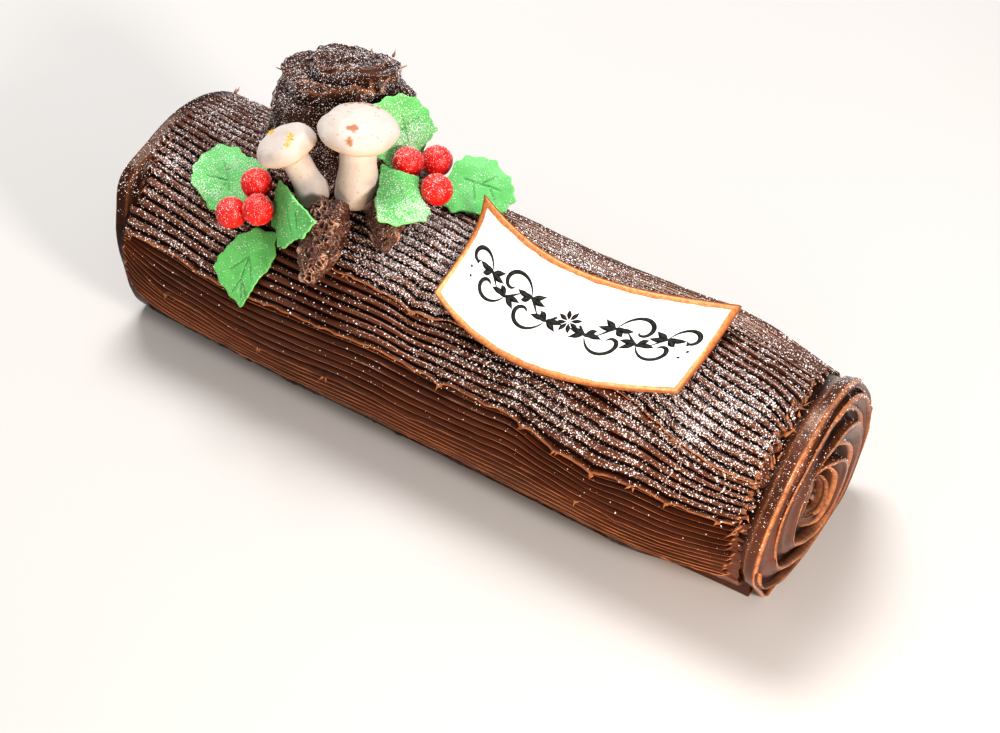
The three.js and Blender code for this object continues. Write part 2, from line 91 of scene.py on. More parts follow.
def unit(vector):
    vector = np.asarray(vector, float)
    return vector / np.linalg.norm(vector, axis=-1, keepdims=True)


def stack(x, y, z):
    """Points from x, y and z of shapes that fit together."""
    return np.stack(np.broadcast_arrays(x, y, z), -1).astype(float)


def circle(count):
    """Evenly spaced angles once round, in radians."""
    return np.linspace(0, 2 * np.pi, count, endpoint=False)


def through(x, knots):
    """A smooth line through (x, value) knots, level beyond the first and last."""
    place, value = np.array(knots, float).T
    slope = np.gradient(value, place)
    x = np.clip(x, place[0], place[-1])
    i = np.clip(np.searchsorted(place, x) - 1, 0, len(place) - 2)
    span = place[i + 1] - place[i]
    t = (x - place[i]) / span
    a = (1 + 2 * t) * (1 - t) ** 2 * value[i] + t * (1 - t) ** 2 * span * slope[i]
    return a + t * t * (3 - 2 * t) * value[i + 1] - t * t * (1 - t) * span * slope[i + 1]


def lattice(cell, seed):
    """A repeatable value from -1 to 1 for each whole-numbered cell."""
    key = cell.astype(np.int64) * HASH_FACTORS
    mixed = (key[..., 0] ^ key[..., 1] ^ key[..., 2] ^ (seed * 2654435761)) & 0xFFFFFFFF
    for shift, factor in ((15, 2246822519), (13, 3266489917)):
        mixed = ((mixed ^ (mixed >> shift)) * factor) & 0xFFFFFFFF
    return ((mixed ^ (mixed >> 16)) & 0xFFFF) / 32767.5 - 1


def noise(points, size, seed):
    """Smooth noise from -1 to 1 at points, its features about size across."""
    scaled = np.asarray(points, float) / size
    cell = np.floor(scaled)
    part = smooth(scaled - cell)
    total = 0
    for corner in np.ndindex(2, 2, 2):
        weight = np.prod(np.where(np.array(corner) == 1, part, 1 - part), axis=-1)
        total = total + weight * lattice(cell + np.array(corner), seed)
    return total


def rough(points, size, seed):
    """Noise of three sizes together."""
    fine = 0.5 * noise(points, size / 2, seed + 1) + 0.25 * noise(points, size / 4, seed + 2)
    return (noise(points, size, seed) + fine) / 1.4


def along(x, size, seed, row=0.0):
    """Noise along a line: x in millimetres, row picks one line of many."""
    x, row = np.broadcast_arrays(np.asarray(x, float), np.asarray(row, float))
    return noise(np.stack([x, row * size, np.zeros_like(x)], -1), size, seed)


def wrap_quads(rows, columns, closed=True):
    """Quads of a grid of rows x columns; closed joins the last column to the first."""
    count = columns if closed else columns - 1
    row, column = np.meshgrid(np.arange(rows - 1), np.arange(count), indexing="ij")
    a = row * columns + column
    b = row * columns + (column + 1) % columns
    return np.stack([a, b, b + columns, a + columns], -1).reshape(-1, 4)


def fan(centre, loop):
    return np.stack([np.full(len(loop), centre), loop, np.roll(loop, -1)], -1)


def corners(skin):
    """The triangles of a skin, its quads split in two, and their three corners."""
    points, quads, triangles = skin
    split = np.concatenate([triangles, quads[:, [0, 1, 2]], quads[:, [0, 2, 3]]])
    return split, *(points[split[:, k]] for k in range(3))


def outward(skin):
    """The skin with its faces pointing out of the solid."""
    points, quads, triangles = skin
    _, a, b, c = corners(skin)
    if np.einsum("ij,ij->i", a, np.cross(b, c)).sum() < 0:
        return points, quads[:, ::-1], triangles[:, ::-1]
    return skin


def loft(grid, first=None, last=None):
    """A closed skin over rows of loops of points, with a point to close each end."""
    rows, columns = grid.shape[:2]
    first = grid[0].mean(0) if first is None else np.asarray(first, float)
    last = grid[-1].mean(0) if last is None else np.asarray(last, float)
    points = np.concatenate([grid.reshape(-1, 3), [first, last]])
    loop = np.arange(columns)
    ends = np.concatenate([
        fan(rows * columns, loop[::-1]),
        fan(rows * columns + 1, loop + (rows - 1) * columns),
    ])
    return outward((points, wrap_quads(rows, columns), ends))


def with_ends(values):
    """One value for each point of a lofted skin, none at the points of its ends."""
    return np.concatenate([values.ravel(), [0, 0]])


def grid_normals(grid):
    across = np.roll(grid, -1, 1) - np.roll(grid, 1, 1)
    normal = np.cross(np.gradient(grid, axis=0), across)
    length = np.linalg.norm(normal, axis=-1, keepdims=True)
    return normal / np.maximum(length, 1e-9)


def skin_normals(skin):
    split, a, b, c = corners(skin)
    face = np.cross(b - a, c - a)
    total = np.zeros_like(skin[0])
    for k in range(3):
        np.add.at(total, split[:, k], face)
    return total / np.maximum(np.linalg.norm(total, axis=1, keepdims=True), 1e-12)


def merge(skins):
    """One skin from several."""
    start = np.cumsum([0] + [len(points) for points, _, _ in skins])
    points, quads, triangles = zip(*skins)
    return (
        np.concatenate(points),
        np.concatenate([faces + first for faces, first in zip(quads, start)]),
        np.concatenate([faces + first for faces, first in zip(triangles, start)]),
    )


def build(name, skin, material, slot, nodes=(), smooth_faces=True, **values):
    """Makes a piece that rides on the cake, from a skin in millimetres. Each of the
    values is kept in the mesh, one number a point, for the material to read."""
    points, quads, triangles = skin
    mesh = bpy.data.meshes.new(name)
    mesh.vertices.add(len(points))
    mesh.vertices.foreach_set("co", (points * MM).astype(np.float32).ravel())
    loops = np.concatenate([quads.ravel(), triangles.ravel()])
    sizes = np.concatenate([np.full(len(quads), 4), np.full(len(triangles), 3)])
    mesh.loops.add(len(loops))
    mesh.loops.foreach_set("vertex_index", loops.astype(np.int32))
    mesh.polygons.add(len(sizes))
    starts = np.concatenate([[0], np.cumsum(sizes)[:-1]])
    mesh.polygons.foreach_set("loop_start", starts.astype(np.int32))
    mesh.polygons.foreach_set("use_smooth", np.full(len(sizes), smooth_faces))
    mesh.update(calc_edges=True)
    for label, value in values.items():
        attribute = mesh.attributes.new(label, "FLOAT", "POINT")
        attribute.data.foreach_set("value", np.asarray(value, np.float32).ravel())
    mesh.materials.append(material)
    piece = bpy.data.objects.new(name, mesh)
    bpy.context.scene.collection.objects.link(piece)
    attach(piece, BODY)
    if nodes:
        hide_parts(*nodes)


# -------------------------------------------------------------------- materials

# The sockets of a colour Mix node, by number because their names repeat.
MIX_SHARE, MIX_A, MIX_B, MIX_RESULT = 0, 6, 7, 2
NO_STRETCH = (1, 1, 1)


class Shader:
    """A material's node tree, with short ways to add nodes to it."""

    def __init__(self, name):
        self.material = bpy.data.materials.new(name)
        self.material.use_nodes = True
        self.tree = self.material.node_tree

    def put(self, socket, value):
        if isinstance(value, bpy.types.NodeSocket):
            self.tree.links.new(value, socket)
            return
        if hasattr(value, "__len__") and len(socket.default_value) == 4:
            value = (*value, 1)
        socket.default_value = value

    def node(self, kind, output, inputs=(), **settings):
        """Adds a node and gives one of its outputs."""
        made = self.tree.nodes.new("ShaderNode" + kind)
        for key, value in settings.items():
            setattr(made, key, value)
        for key, value in dict(inputs).items():
            self.put(made.inputs[key], value)
        return made.outputs[output]

    def attribute(self, name):
        return self.node("Attribute", "Fac", attribute_name=name)

    def pattern(self, size, stretch):
        """Object coordinates, and the scale for features of size millimetres."""
        place = {"Scale": stretch, "Vector": self.node("TexCoord", "Object")}
        return {"Vector": self.node("Mapping", "Vector", place), "Scale": 1 / (size * MM)}

    def noise(self, size, detail=3, stretch=NO_STRETCH):
        return self.node("TexNoise", "Fac", {**self.pattern(size, stretch), "Detail": detail})

    def cells(self, size):
        return self.node("TexVoronoi", "Distance", self.pattern(size, NO_STRETCH))

    def ramp(self, value, low, high, to_low=0.0, to_high=1.0):
        labels = ("Value", "From Min", "From Max", "To Min", "To Max")
        return self.node("MapRange", "Result", zip(labels, (value, low, high, to_low, to_high)))

    def math(self, operation, a, b):
        return self.node("Math", 0, {0: a, 1: b}, operation=operation)

    def times(self, a, b):
        return self.math("MULTIPLY", a, b)

    def plus(self, a, b):
        return self.math("ADD", a, b)

    def mix(self, share, a, b):
        inputs = {MIX_SHARE: share, MIX_A: a, MIX_B: b}
        return self.node("Mix", MIX_RESULT, inputs, data_type="RGBA")

    def between(self, value, low, high, a, b):
        """A colour that goes from a where value is low to b where it is high."""
        return self.mix(self.ramp(value, low, high), a, b)

    def over(self, base, **colours):
        """The base under other colours, each where the attribute of its name is high."""
        for name, colour in colours.items():
            base = self.mix(self.attribute(name), base, colour)
        return base

    def dust(self, sugar, grain, bare, full):
        """Where specks of sugar finer than the modelled grains lie."""
        return self.ramp(self.math("SUBTRACT", self.plus(sugar, grain), bare), 0, full)

    def bump(self, height, distance):
        return self.node("Bump", "Normal", {"Height": height, "Distance": distance * MM})

    def finish(self, **inputs):
        surface = self.tree.nodes["Principled BSDF"]
        for label, value in inputs.items():
            self.put(surface.inputs[label.replace("_", " ")], value)
        return self.material


def ganache_material():
    """Dark chocolate, with a painted highlight on its crests and edges, painted shade in its hollows and a
    dusting of sugar.
    """
    s = Shader("ganache")
    # edge is the colour of the painted highlight on crests and torn edges.
    dark, light, edge = (0.036, 0.0096, 0.0042), (0.094, 0.028, 0.013), (0.60, 0.25, 0.11)
    base = s.between(s.noise(16, 4, (0.4, 1, 1)), 0.3, 0.72, dark, light)
    # The hollow attribute is painted shade: troughs, gaps and recesses darkened almost to black.
    hollow = s.attribute("hollow")
    base = s.mix(s.times(hollow, 0.9), base, (0.006, 0.0018, 0.0010))
    streaks = s.noise(1.5, 3, (0.1, 1, 1))
    # Painted highlight: light tan where the edge attribute is high, broken by streaks.
    base = s.mix(s.times(s.attribute("edge"), s.ramp(streaks, 0.25, 0.6, 0.3, 1.0)), base, edge)
    grain = s.noise(0.34, 2)
    dust = s.dust(s.times(s.attribute("sugar"), 0.5), grain, 0.74, 0.12)
    base = s.mix(s.times(dust, 0.32), base, (0.62, 0.52, 0.53))
    relief = s.plus(s.times(streaks, 0.55), s.times(grain, 0.25))
    roughness = s.ramp(s.math("MAXIMUM", dust, s.attribute("sugar")), 0.0, 0.6, 0.24, 0.5)
    # The specular is dimmed where the painted shade lies.
    shine = s.math("SUBTRACT", 0.5, s.times(hollow, 0.4))
    return s.finish(
        Base_Color=base, Roughness=roughness, Normal=s.bump(relief, 0.2),
        IOR=1.50, Specular_Tint=(1.0, 0.68, 0.54), Specular_IOR_Level=shine,
    )


def leaf_material():
    s = Shader("holly_leaf")
    base = s.between(s.noise(7, 4), 0.3, 0.7, (0.090, 0.395, 0.098), (0.134, 0.50, 0.145))
    # Painted shade, dark green, in the pressed veins, and a painted highlight, pale green, along the rim.
    base = s.over(base, groove=(0.012, 0.14, 0.016), edge=(0.26, 0.72, 0.23))
    grain = s.noise(0.5, 2)
    dust = s.dust(s.attribute("sugar"), grain, 0.80, 0.16)
    base = s.mix(s.times(dust, 0.8), base, (0.72, 0.92, 0.70))
    relief = s.plus(s.times(grain, 0.3), s.noise(2.5))
    return s.finish(Base_Color=base, Roughness=0.55, Normal=s.bump(relief, 0.12), IOR=1.4)


def berry_material():
    """Glossy red with sugared spots."""
    s = Shader("holly_berry")
    base = s.between(s.noise(3.5), 0.3, 0.7, (0.52, 0.005, 0.005), (0.68, 0.013, 0.011))
    grain = s.noise(0.42, 2)
    dust = s.dust(s.attribute("sugar"), grain, 0.84, 0.2)
    base = s.mix(s.times(dust, 0.22), base, (0.98, 0.36, 0.32))
    return s.finish(
        Base_Color=base, Roughness=0.34, Normal=s.bump(grain, 0.10), IOR=1.45,
        Specular_Tint=(1.0, 0.75, 0.72),
    )


def mushroom_material():
    """Pale meringue with brown specks, rusty patches, toasted rims and painted shade."""
    s = Shader("mushroom")
    base = s.between(s.noise(9, 4), 0.3, 0.75, (0.50, 0.43, 0.385), (0.585, 0.525, 0.49))
    speck = s.math("LESS_THAN", s.cells(2.2), s.ramp(s.noise(4, 1), 0.4, 0.7, 0.05, 0.26))
    base = s.mix(s.times(speck, 0.55), base, (0.40, 0.22, 0.13))
    # Tan where the rims are toasted and where painted shade lies under the caps and on the stems; rusty
    # brown on the patches.
    base = s.over(base, toast=(0.66, 0.36, 0.17), rust=(0.36, 0.13, 0.05))
    return s.finish(
        Base_Color=base, Roughness=0.55, Normal=s.bump(s.noise(1.3, 4), 0.14), IOR=1.42,
        Subsurface_Weight=0.15, Subsurface_Radius=(0.004, 0.0025, 0.0016), Subsurface_Scale=0.5,
    )


def cone_material():
    """Brown scales with painted highlights on their crests and painted shade in their hollows."""
    s = Shader("pine_cone")
    grain = s.noise(1.2, 4)
    base = s.between(grain, 0.3, 0.7, (0.050, 0.019, 0.0125), (0.115, 0.046, 0.030))
    # Painted shade, near black, in the hollows between the crests.
    base = s.over(base, hollow=(0.010, 0.004, 0.0025))
    # Painted highlight, light brown, on the crests.
    painted_highlight = s.times(s.attribute("edge"), s.ramp(grain, 0.25, 0.6, 0.3, 1))
    base = s.mix(painted_highlight, base, (0.62, 0.36, 0.25))
    return s.finish(
        Base_Color=base, Roughness=0.27, Normal=s.bump(grain, 0.1), IOR=1.65,
        Specular_Tint=(1.0, 0.82, 0.72),
    )


def plaque_material():
    """White icing with a gilded rim, a brown side, warm patches and painted shade on its curled corner."""
    s = Shader("plaque")
    base = s.between(s.noise(16), 0.35, 0.75, (0.87, 0.86, 0.845), (0.91, 0.90, 0.89))
    # Warm beige patches near the upper rim, and painted shade on the curled upper-left corner.
    base = s.over(base, warm=(0.78, 0.47, 0.22))
    gold = s.between(s.noise(1.4), 0.3, 0.7, (0.35, 0.112, 0.03), (0.58, 0.24, 0.08))
    rim = s.ramp(s.plus(s.attribute("rim"), s.times(s.noise(6), 0.22)), 0.65, 0.685)
    base = s.over(s.mix(rim, base, gold), side=(0.30, 0.082, 0.026))
    return s.finish(
        Base_Color=base, Roughness=0.42, Metallic=s.times(rim, 0.3),
        Normal=s.bump(s.noise(0.8), 0.04), IOR=1.45,
    )


def plain_material(name, noise, span, dark, light, roughness, refraction):
    """A material whose colour wanders between two with a noise, or with a span of it."""
    s = Shader(name)
    share = s.noise(*noise)
    if span:
        share = s.ramp(share, *span)
    return s.finish(Base_Color=s.mix(share, dark, light), Roughness=roughness, IOR=refraction)


GANACHE, LEAF, BERRY = ganache_material(), leaf_material(), berry_material()
MUSHROOM, CONE, PLAQUE_ICING = mushroom_material(), cone_material(), plaque_material()
SUGAR, INK, CRYSTAL, WIRE, FLOOR = (plain_material(*row) for row in (
    ("sugar", (1.1, 1), (0.35, 0.65), (0.82, 0.79, 0.82), (0.97, 0.96, 0.98), 0.38, 1.5),
    ("ink", (1.6, 3), (0.35, 0.8), (0.004, 0.004, 0.004), (0.03, 0.034, 0.032), 0.6, 1.3),
    ("crystal", (1.5, 2), (0.35, 0.65), (0.80, 0.42, 0.03), (0.95, 0.72, 0.16), 0.3, 1.5),
    ("wire", (1.5, 2), None, (0.13, 0.17, 0.12), (0.24, 0.27, 0.21), 0.5, 1.45),
    ("floor", (260, 2), None, (0.50, 0.488, 0.480), (0.52, 0.510, 0.504), 0.8, 1.2),
))

# ------------------------------------------------------------------ the log body

LOG_RADIUS = 54.3
LOG_AXIS_HEIGHT = 40.0
LOG_LEFT, LOG_RIGHT = -154.0, 152.5
BOTTOM_ANGLE = math.degrees(math.asin(LOG_AXIS_HEIGHT / LOG_RADIUS))
FOOT_ANGLE = 180 + BOTTOM_ANGLE
END, END_ROWS, MIDDLE_ROWS = 14, 18, 158   # rows lie closer over END mm at each end
END_POINT = [14, 0, 0]                   # how far inside the log its left end closes
# How its right end turns in under the cap: (share of its radius, millimetres along).
TUCKS = [(0.965, -0.9), (0.9, -1.6)]

# Angles round the log, 90 at the top and 180 at the front, where each coat of
# ganache ends, as (x, angle) knots.
LIPS = {
    "third": [
        (-157, 122), (-127, 127), (-100, 130), (-53, 132.2), (-18, 132.6), (-8, 134), (8, 131.7),
        (30, 130), (50, 128), (75, 127.5), (97, 130.4), (112, 134.8), (133, 138.3), (154, 137),
    ],
    "upper": [
        (-157, 158), (-143, 157.7), (-127, 158.1), (-110, 160.7), (-81, 160.7), (-64, 159.4),
        (-43, 158.1), (-20, 156), (0, 156.6), (33, 157), (48, 156), (60, 159.8), (75, 162),
        (85, 163.6), (102, 160.5), (121, 160.3), (137, 158.1), (154, 154.6),
    ],
    "lower": [
        (-157, 163), (-145, 171.7), (-130, 179.2), (-110, 181.4), (-95, 184), (-78, 185.4),
        (-60, 184.5), (-31, 181.4), (2, 181.9), (33, 179.7), (50, 178.8), (82, 181.4),
        (104, 181.9), (121, 180.5), (137, 176.1), (154, 170),
    ],
    "hem": [(-157, 184), (-145, 191), (-125, 197.5), (0, 199), (105, 199), (125, 196), (154, 188)],
}
# Spikes and curls of the lips, as (x, how many degrees they hang down).
SPIKES = {
    "third": [(-10, 1.0), (-44, 0.6), (112, 0.6)],
    "upper": [(12, 1.6), (52, 1.8), (68, 1.2), (85, 1.2), (102.5, 1.4), (118, 1), (140, 1)],
    "lower": [(-128, 1.2), (-78, 1), (-43, 1.6), (81, 1.2)],
    "hem": [(-101, 3.5), (-62, 2.5), (-23, 4), (-7.5, 5), (11, 6), (37, 3), (60, 4), (98, 3), (125, 4)],
}
# How many degrees each lip is torn up and down.
TEAR = {"back": 0.0, "third": 0.7, "upper": 0.7, "lower": 0.45, "hem": 1.3}
# One comb ridge as (share across it, height): rounded, drawn to a thin crest, and finer.
ROUNDED = [(0, -1.75), (0.09, -0.75), (0.26, 0.42), (0.5, 0.8), (0.74, 0.42), (0.91, -0.75)]
THIN = [
    (0, -0.85), (0.2, -0.45), (0.36, 0.05), (0.46, 0.6), (0.5, 0.85), (0.54, -0.1), (0.6, -1.15),
    (0.78, -1.1),
]
FINE = [(0, -0.75), (0.25, -0.3), (0.42, 0.35), (0.5, 0.7), (0.55, -0.5), (0.72, -1.15)]
# Each coat: its upper and lower edge, ridges, their profile, how proud its lip is, and
# how strong and how wide across a ridge the painted highlight on the crests is.
COATS = [
    ("back", "third", 41, ROUNDED, 1.1, 0.12, 0.16),
    ("third", "upper", 6, ROUNDED, 1.3, 0.12, 0.16),
    ("upper", "lower", 6, THIN, 0.9, 0.8, 0.035),
    ("lower", "hem", 6, FINE, 0.5, 0.85, 0.035),
]
LIP_BAND = 9.0                          # degrees over which a lip stands proud
SKIRT_ROWS, BASE_ROWS = 15, 10

# Where the log is narrower than a cylinder, towards its ends: (depth, x where that
# starts, x where it is full, its middle angle, degrees to each side).
TAPERS = [
    (7, 112, 157, 45, 34), (5.5, 95, 155, 222, 40), (2.6, -90, -135, 75, 50), (5.5, -144, -157, 196, 17),
]
# And along it: (depth, middle x, millimetres to each side, middle angle, degrees).
DENTS = [(1.3, 38, 30, 45, 34), (-1.4, 99, 15, 45, 34), (-1.6, -75, 70, 215, 30)]
# And along its whole foot: (depth, middle angle, degrees to each side).
UNDERCUT = (3.6, 211, 8)


def narrowing(x, angle):
    """How far the surface lies inside a true cylinder."""
    depth, middle, spread = UNDERCUT
    total = depth * bump(angle, middle, spread)
    for depth, start, full, middle, spread in TAPERS:
        total = total + depth * rise(x, start, full) * bump(angle, middle, spread)
    for depth, place, length, middle, spread in DENTS:
        total = total + depth * bump(x, place, length) * bump(angle, middle, spread)
    return total


def lip_angle(name, x):
    return through(x, LIPS[name]) if name in LIPS else np.full_like(x, -BOTTOM_ANGLE)


def lip_tear(name, x):
    """How ragged a lip is at x, in degrees."""
    seed = 31 + len(name)
    torn = TEAR[name] * (along(x, 7, seed) + 0.6 * along(x, 2.6, seed + 5))
    for place, hang in SPIKES.get(name, []):
        torn = torn + hang * bump(x, place, 1.5) + 0.35 * hang * bump(x, place - 3, 3)
    return torn


def round_log(x, angle, radius):
    """Points at an angle round the log and at a radius from its axis."""
    angle = np.radians(angle)
    return stack(x, radius * np.cos(angle), LOG_AXIS_HEIGHT + radius * np.sin(angle))


def angle_on_log(points):
    return np.degrees(np.arctan2(points[..., 2] - LOG_AXIS_HEIGHT, points[..., 1])) % 360


def log_columns():
    """For each line of points along the log: its coat, share across the coat, height,
    share across its ridge, and ridge."""
    return np.array([
        (coat, (ridge + share) / (ridges + 0.5), height, share, ridge)
        for coat, (_, _, ridges, profile, *_) in enumerate(COATS)
        for ridge in range(ridges + 1)
        for share, height in profile
        if ridge < ridges or share <= 0.5
    ]).T


def combed_coats(x):
    """Angle, how proud each point of the coats is and how much painted highlight it has, without the relief.
    """
    coat, share, _, phase, ridge = log_columns()
    rows = x[:, None]
    angle, proud, crest = np.zeros((3, len(x), len(coat)))
    for index, (upper, lower, _, _, stand, highlight_strength, half) in enumerate(COATS):
        mine, under_lip = coat == index, index > 0
        across = share[mine]
        top, bottom = lip_angle(upper, x)[:, None], lip_angle(lower, x)[:, None]
        under = -0.45 * rise(across, 0.05, 0) * under_lip
        tear_top = lip_tear(upper, x)[:, None] * rise(across, 0.06, 0) * under_lip
        tear_bottom = lip_tear(lower, x)[:, None] * rise(across, 0.86, 1)
        angle[:, mine] = top + (bottom - top) * across + under + tear_top + tear_bottom
        lift = stand * (0.85 + 0.35 * along(rows, 11, 60 + index))
        # How strong the painted highlight on the lip's edge is.
        light = 0.8 + 0.3 * along(rows, 5, 75 + index)
        if not under_lip:
            lift = lift * (0.35 + 0.65 * rise(rows, -75, -55))
            light = light * (0.2 + 0.8 * rise(rows, -70, -50))
        proud[:, mine] = lift * smooth(1 + (angle[:, mine] - bottom - tear_bottom) / LIP_BAND)
        # Painted highlight along each crest, broken here and there.
        broken = 0.75 + 0.45 * along(rows, 9, 90 + index, ridge[mine])
        line = np.clip(1 - np.abs(phase[mine] - 0.5) / half, 0, 1)
        crest[:, mine] = np.where(across > 0.999, light, np.clip(highlight_strength * broken * line, 0, 1))
    return angle + 9 * rise(rows, 128, 154) ** 1.5 * bump(angle, 97, 20), proud, crest


def log_underside(x, place, front, back, combed):
    """The rough skirt below the hem and the flat base, between the two edges."""
    foot = round_log(x, FOOT_ANGLE, LOG_RADIUS - narrowing(x, FOOT_ANGLE) * 0.6 - 5 * combed)
    foot[:, 2] = 0
    hem_line = angle_on_log(front)
    skirt = []
    for number, step in enumerate(np.linspace(0.03, 0.95, SKIRT_ROWS)):
        turn_to = hem_line + (FOOT_ANGLE - hem_line) * step
        spot = stack(x, step * 14, 0)
        lumps = (0.8 * noise(spot, 4.0, 140) + 0.4 * noise(spot, 1.8, 150)) * (1 - 0.8 * combed)
        lumps = lumps + combed * (0.5 * (number % 2) - 0.1)
        deep = (1.3 - 0.5 * step) * (1 - 0.7 * combed) + 5 * combed * step ** 1.5
        skirt.append(round_log(place, turn_to, LOG_RADIUS - deep + lumps - narrowing(x, turn_to)))
    inner = np.linspace(0, 1, BASE_ROWS)[:-1, None]
    return np.concatenate([np.stack(skirt, 1), foot[:, None] + (back - foot)[:, None] * inner], 1)


def log_relief(rows, angle, proud):
    """The radius of the combed ganache, its x with the ragged ends, and where the combs
    have been, from 0 to 1."""
    coat, _, height, phase, ridge = log_columns()
    swell = 0.85 + 0.3 * along(rows, 22, 3, ridge) + 0.2 * along(rows, 7, 9, ridge)
    buried = 0.3 * rise(rows, -88, -102) * rise(angle, 122, 110)
    bare = bump(rows, 143, 7) * bump(angle, 153.5, 3.5)
    number = coat * 60 + ridge
    stop_right = 148.0 + 2.2 * along(number * 3.7, 1.0, 71) + 1.0 * along(phase + number, 0.4, 72)
    stop_left = -151.8 + 1.2 * along(number * 3.7, 1.0, 73)
    combs = smooth((stop_right - rows) / 1.3 + 0.5) * smooth((rows - stop_left) / 1.3 + 0.5)
    relief = height * swell * (1 - buried) * (1 - 0.9 * bare) * combs
    cut = (1 - combs) * (1.5 - 0.4 * (coat > 1) - 0.25 * along(angle * 0.95, 1.4, 88))
    frosting = 0.3 * (1.2 * buried + 0.35) * rough(stack(rows, angle, 0), 2.6, 12)
    flat = rise(angle, -BOTTOM_ANGLE, 6 - BOTTOM_ANGLE)
    radius = LOG_RADIUS + (relief - cut + proud * combs + frosting) * flat - narrowing(rows, angle)
    torn = 0.5 + 0.5 * along(angle * 0.95, 4.2, 19) + 0.4 * along(angle * 0.95, 1.6, 20)
    reaching = 4.2 * rise(rows, -141, -153) * rise(angle, 151, 139)
    return radius, rows + rise(rows, 149, 152) * (0.8 * torn - 0.4) - reaching, combs


def log_body():
    """The log's grid of points, their painted highlight and painted shade, and how high they are."""
    x = np.concatenate([
        LOG_LEFT + END * np.linspace(0, 1, END_ROWS),
        np.linspace(LOG_LEFT + END, LOG_RIGHT - END, MIDDLE_ROWS)[1:-1],
        LOG_RIGHT - END + END * np.linspace(0, 1, END_ROWS),
    ])
    rows = x[:, None]
    coat, _, height, _, _ = log_columns()
    angle, proud, crest = combed_coats(x)
    radius, place, combs = log_relief(rows, angle, proud)
    grid = round_log(place, angle, radius)
    # Painted highlight where the combing stops, added to that on the crests.
    brink = 2.2 * combs * (1 - combs)
    crest = np.maximum(crest * combs, brink * (rows > 0) * (height > -0.2) * rise(angle, 200, 180))
    side_comb = rise(x, 96, 121)
    underside = log_underside(x, place[:, -1], grid[:, -1], grid[:, 0], side_comb)
    grid = np.concatenate([grid, underside], 1)
    grid[..., 2] = np.maximum(grid[..., 2], 0)
    axis = np.array([0, 0, LOG_AXIS_HEIGHT])
    tuck = [axis + (grid[-1] - axis) * [1, scale, scale] + [shift, 0, 0] for scale, shift in TUCKS]
    grid = np.concatenate([grid, tuck])
    grid[..., 2] = np.maximum(grid[..., 2], 0)

    def carried_on(values, on_skirt, in_tuck):
        """Values of the combed points, with those of the underside and the tuck."""
        extra = underside.shape[1]
        wide = np.pad(values, ((0, 0), (0, extra)))
        wide[:, -extra:-extra + SKIRT_ROWS] = on_skirt
        return np.pad(wide, ((0, len(TUCKS)), (0, 0)), constant_values=in_tuck)

    # Painted shade: dark in the troughs, at the uncombed left end, under the hem and in the tuck.
    low = np.clip((-0.2 - height) / 0.5, 0, 1) * np.where(coat == 2, 0.95, 1.0)
    painted_shade = np.maximum(low * combs, 0.75 * (1 - combs) * (rows < 0))
    high = rise(height, -0.5, 0.6) * combs + 0.35 * (1 - combs)
    # Painted highlight on every other row of the skirt towards the right end.
    every_other = 0.3 * side_comb[:, None] * (np.arange(SKIRT_ROWS) % 2)
    return (
        grid, carried_on(crest, every_other, 0),
        carried_on(painted_shade, (0.92 - 0.7 * side_comb)[:, None], 0.9), carried_on(high, 0, 0),
    )


# Where sugar fell on the log: (amount, middle x, millimetres to each side, middle
# angle, degrees to each side).
SUGAR_PATCHES = [(0.34, 52, 44, 146, 16), (0.56, 114, 28, 119, 17), (0.3, 35, 45, 78, 22)]


def sugar_cover(points, normals):
    """How much of the surface sugar hides at points, from 0 to 0.6."""
    x, angle = points[..., 0], angle_on_log(points)
    angle = np.where(angle > 300, angle - 360, angle)
    cover = 0.035 + 0.13 * rise(x, -90, -112) * (0.55 + 0.45 * rise(angle, 150, 120))
    cover = cover + 0.1 * rise(x, -80, -105) + 0.12 * rise(x, 85, 100)
    cover = cover + 0.48 * bump(x, -20, 34) * rise(angle, 134, 128) * rise(angle, 80, 90)
    for amount, place, length, middle, spread in SUGAR_PATCHES:
        cover = cover + amount * bump(x, place, length) * bump(angle, middle, spread)
    upper = rise(angle, 164, 155) * (1 - 0.6 * rise(x, -148, -151))
    cover = cover * upper + 0.010 * rise(angle, 186, 174)
    back = 0.35 + 0.65 * rise(angle, 30, 75)
    clumps = 0.75 + 0.6 * rough(points, 9, 41)
    return np.clip(cover * back * clumps, 0, 0.6) * rise(normals[..., 2], -0.25, 0.45)


log_grid, log_painted_highlight, log_painted_shade, log_high = log_body()
log_sugar = with_ends(sugar_cover(log_grid, -grid_normals(log_grid)))
log_skin = loft(log_grid, log_grid[0].mean(0) + END_POINT)
# Its edge attribute is painted highlight and its hollow attribute painted shade.
build(
    "log_body", log_skin, GANACHE, "ganache", ["log"],
    edge=with_ends(log_painted_highlight), hollow=with_ends(log_painted_shade), sugar=log_sugar,
)

# ----------------------------------------------------------- the swirled end caps

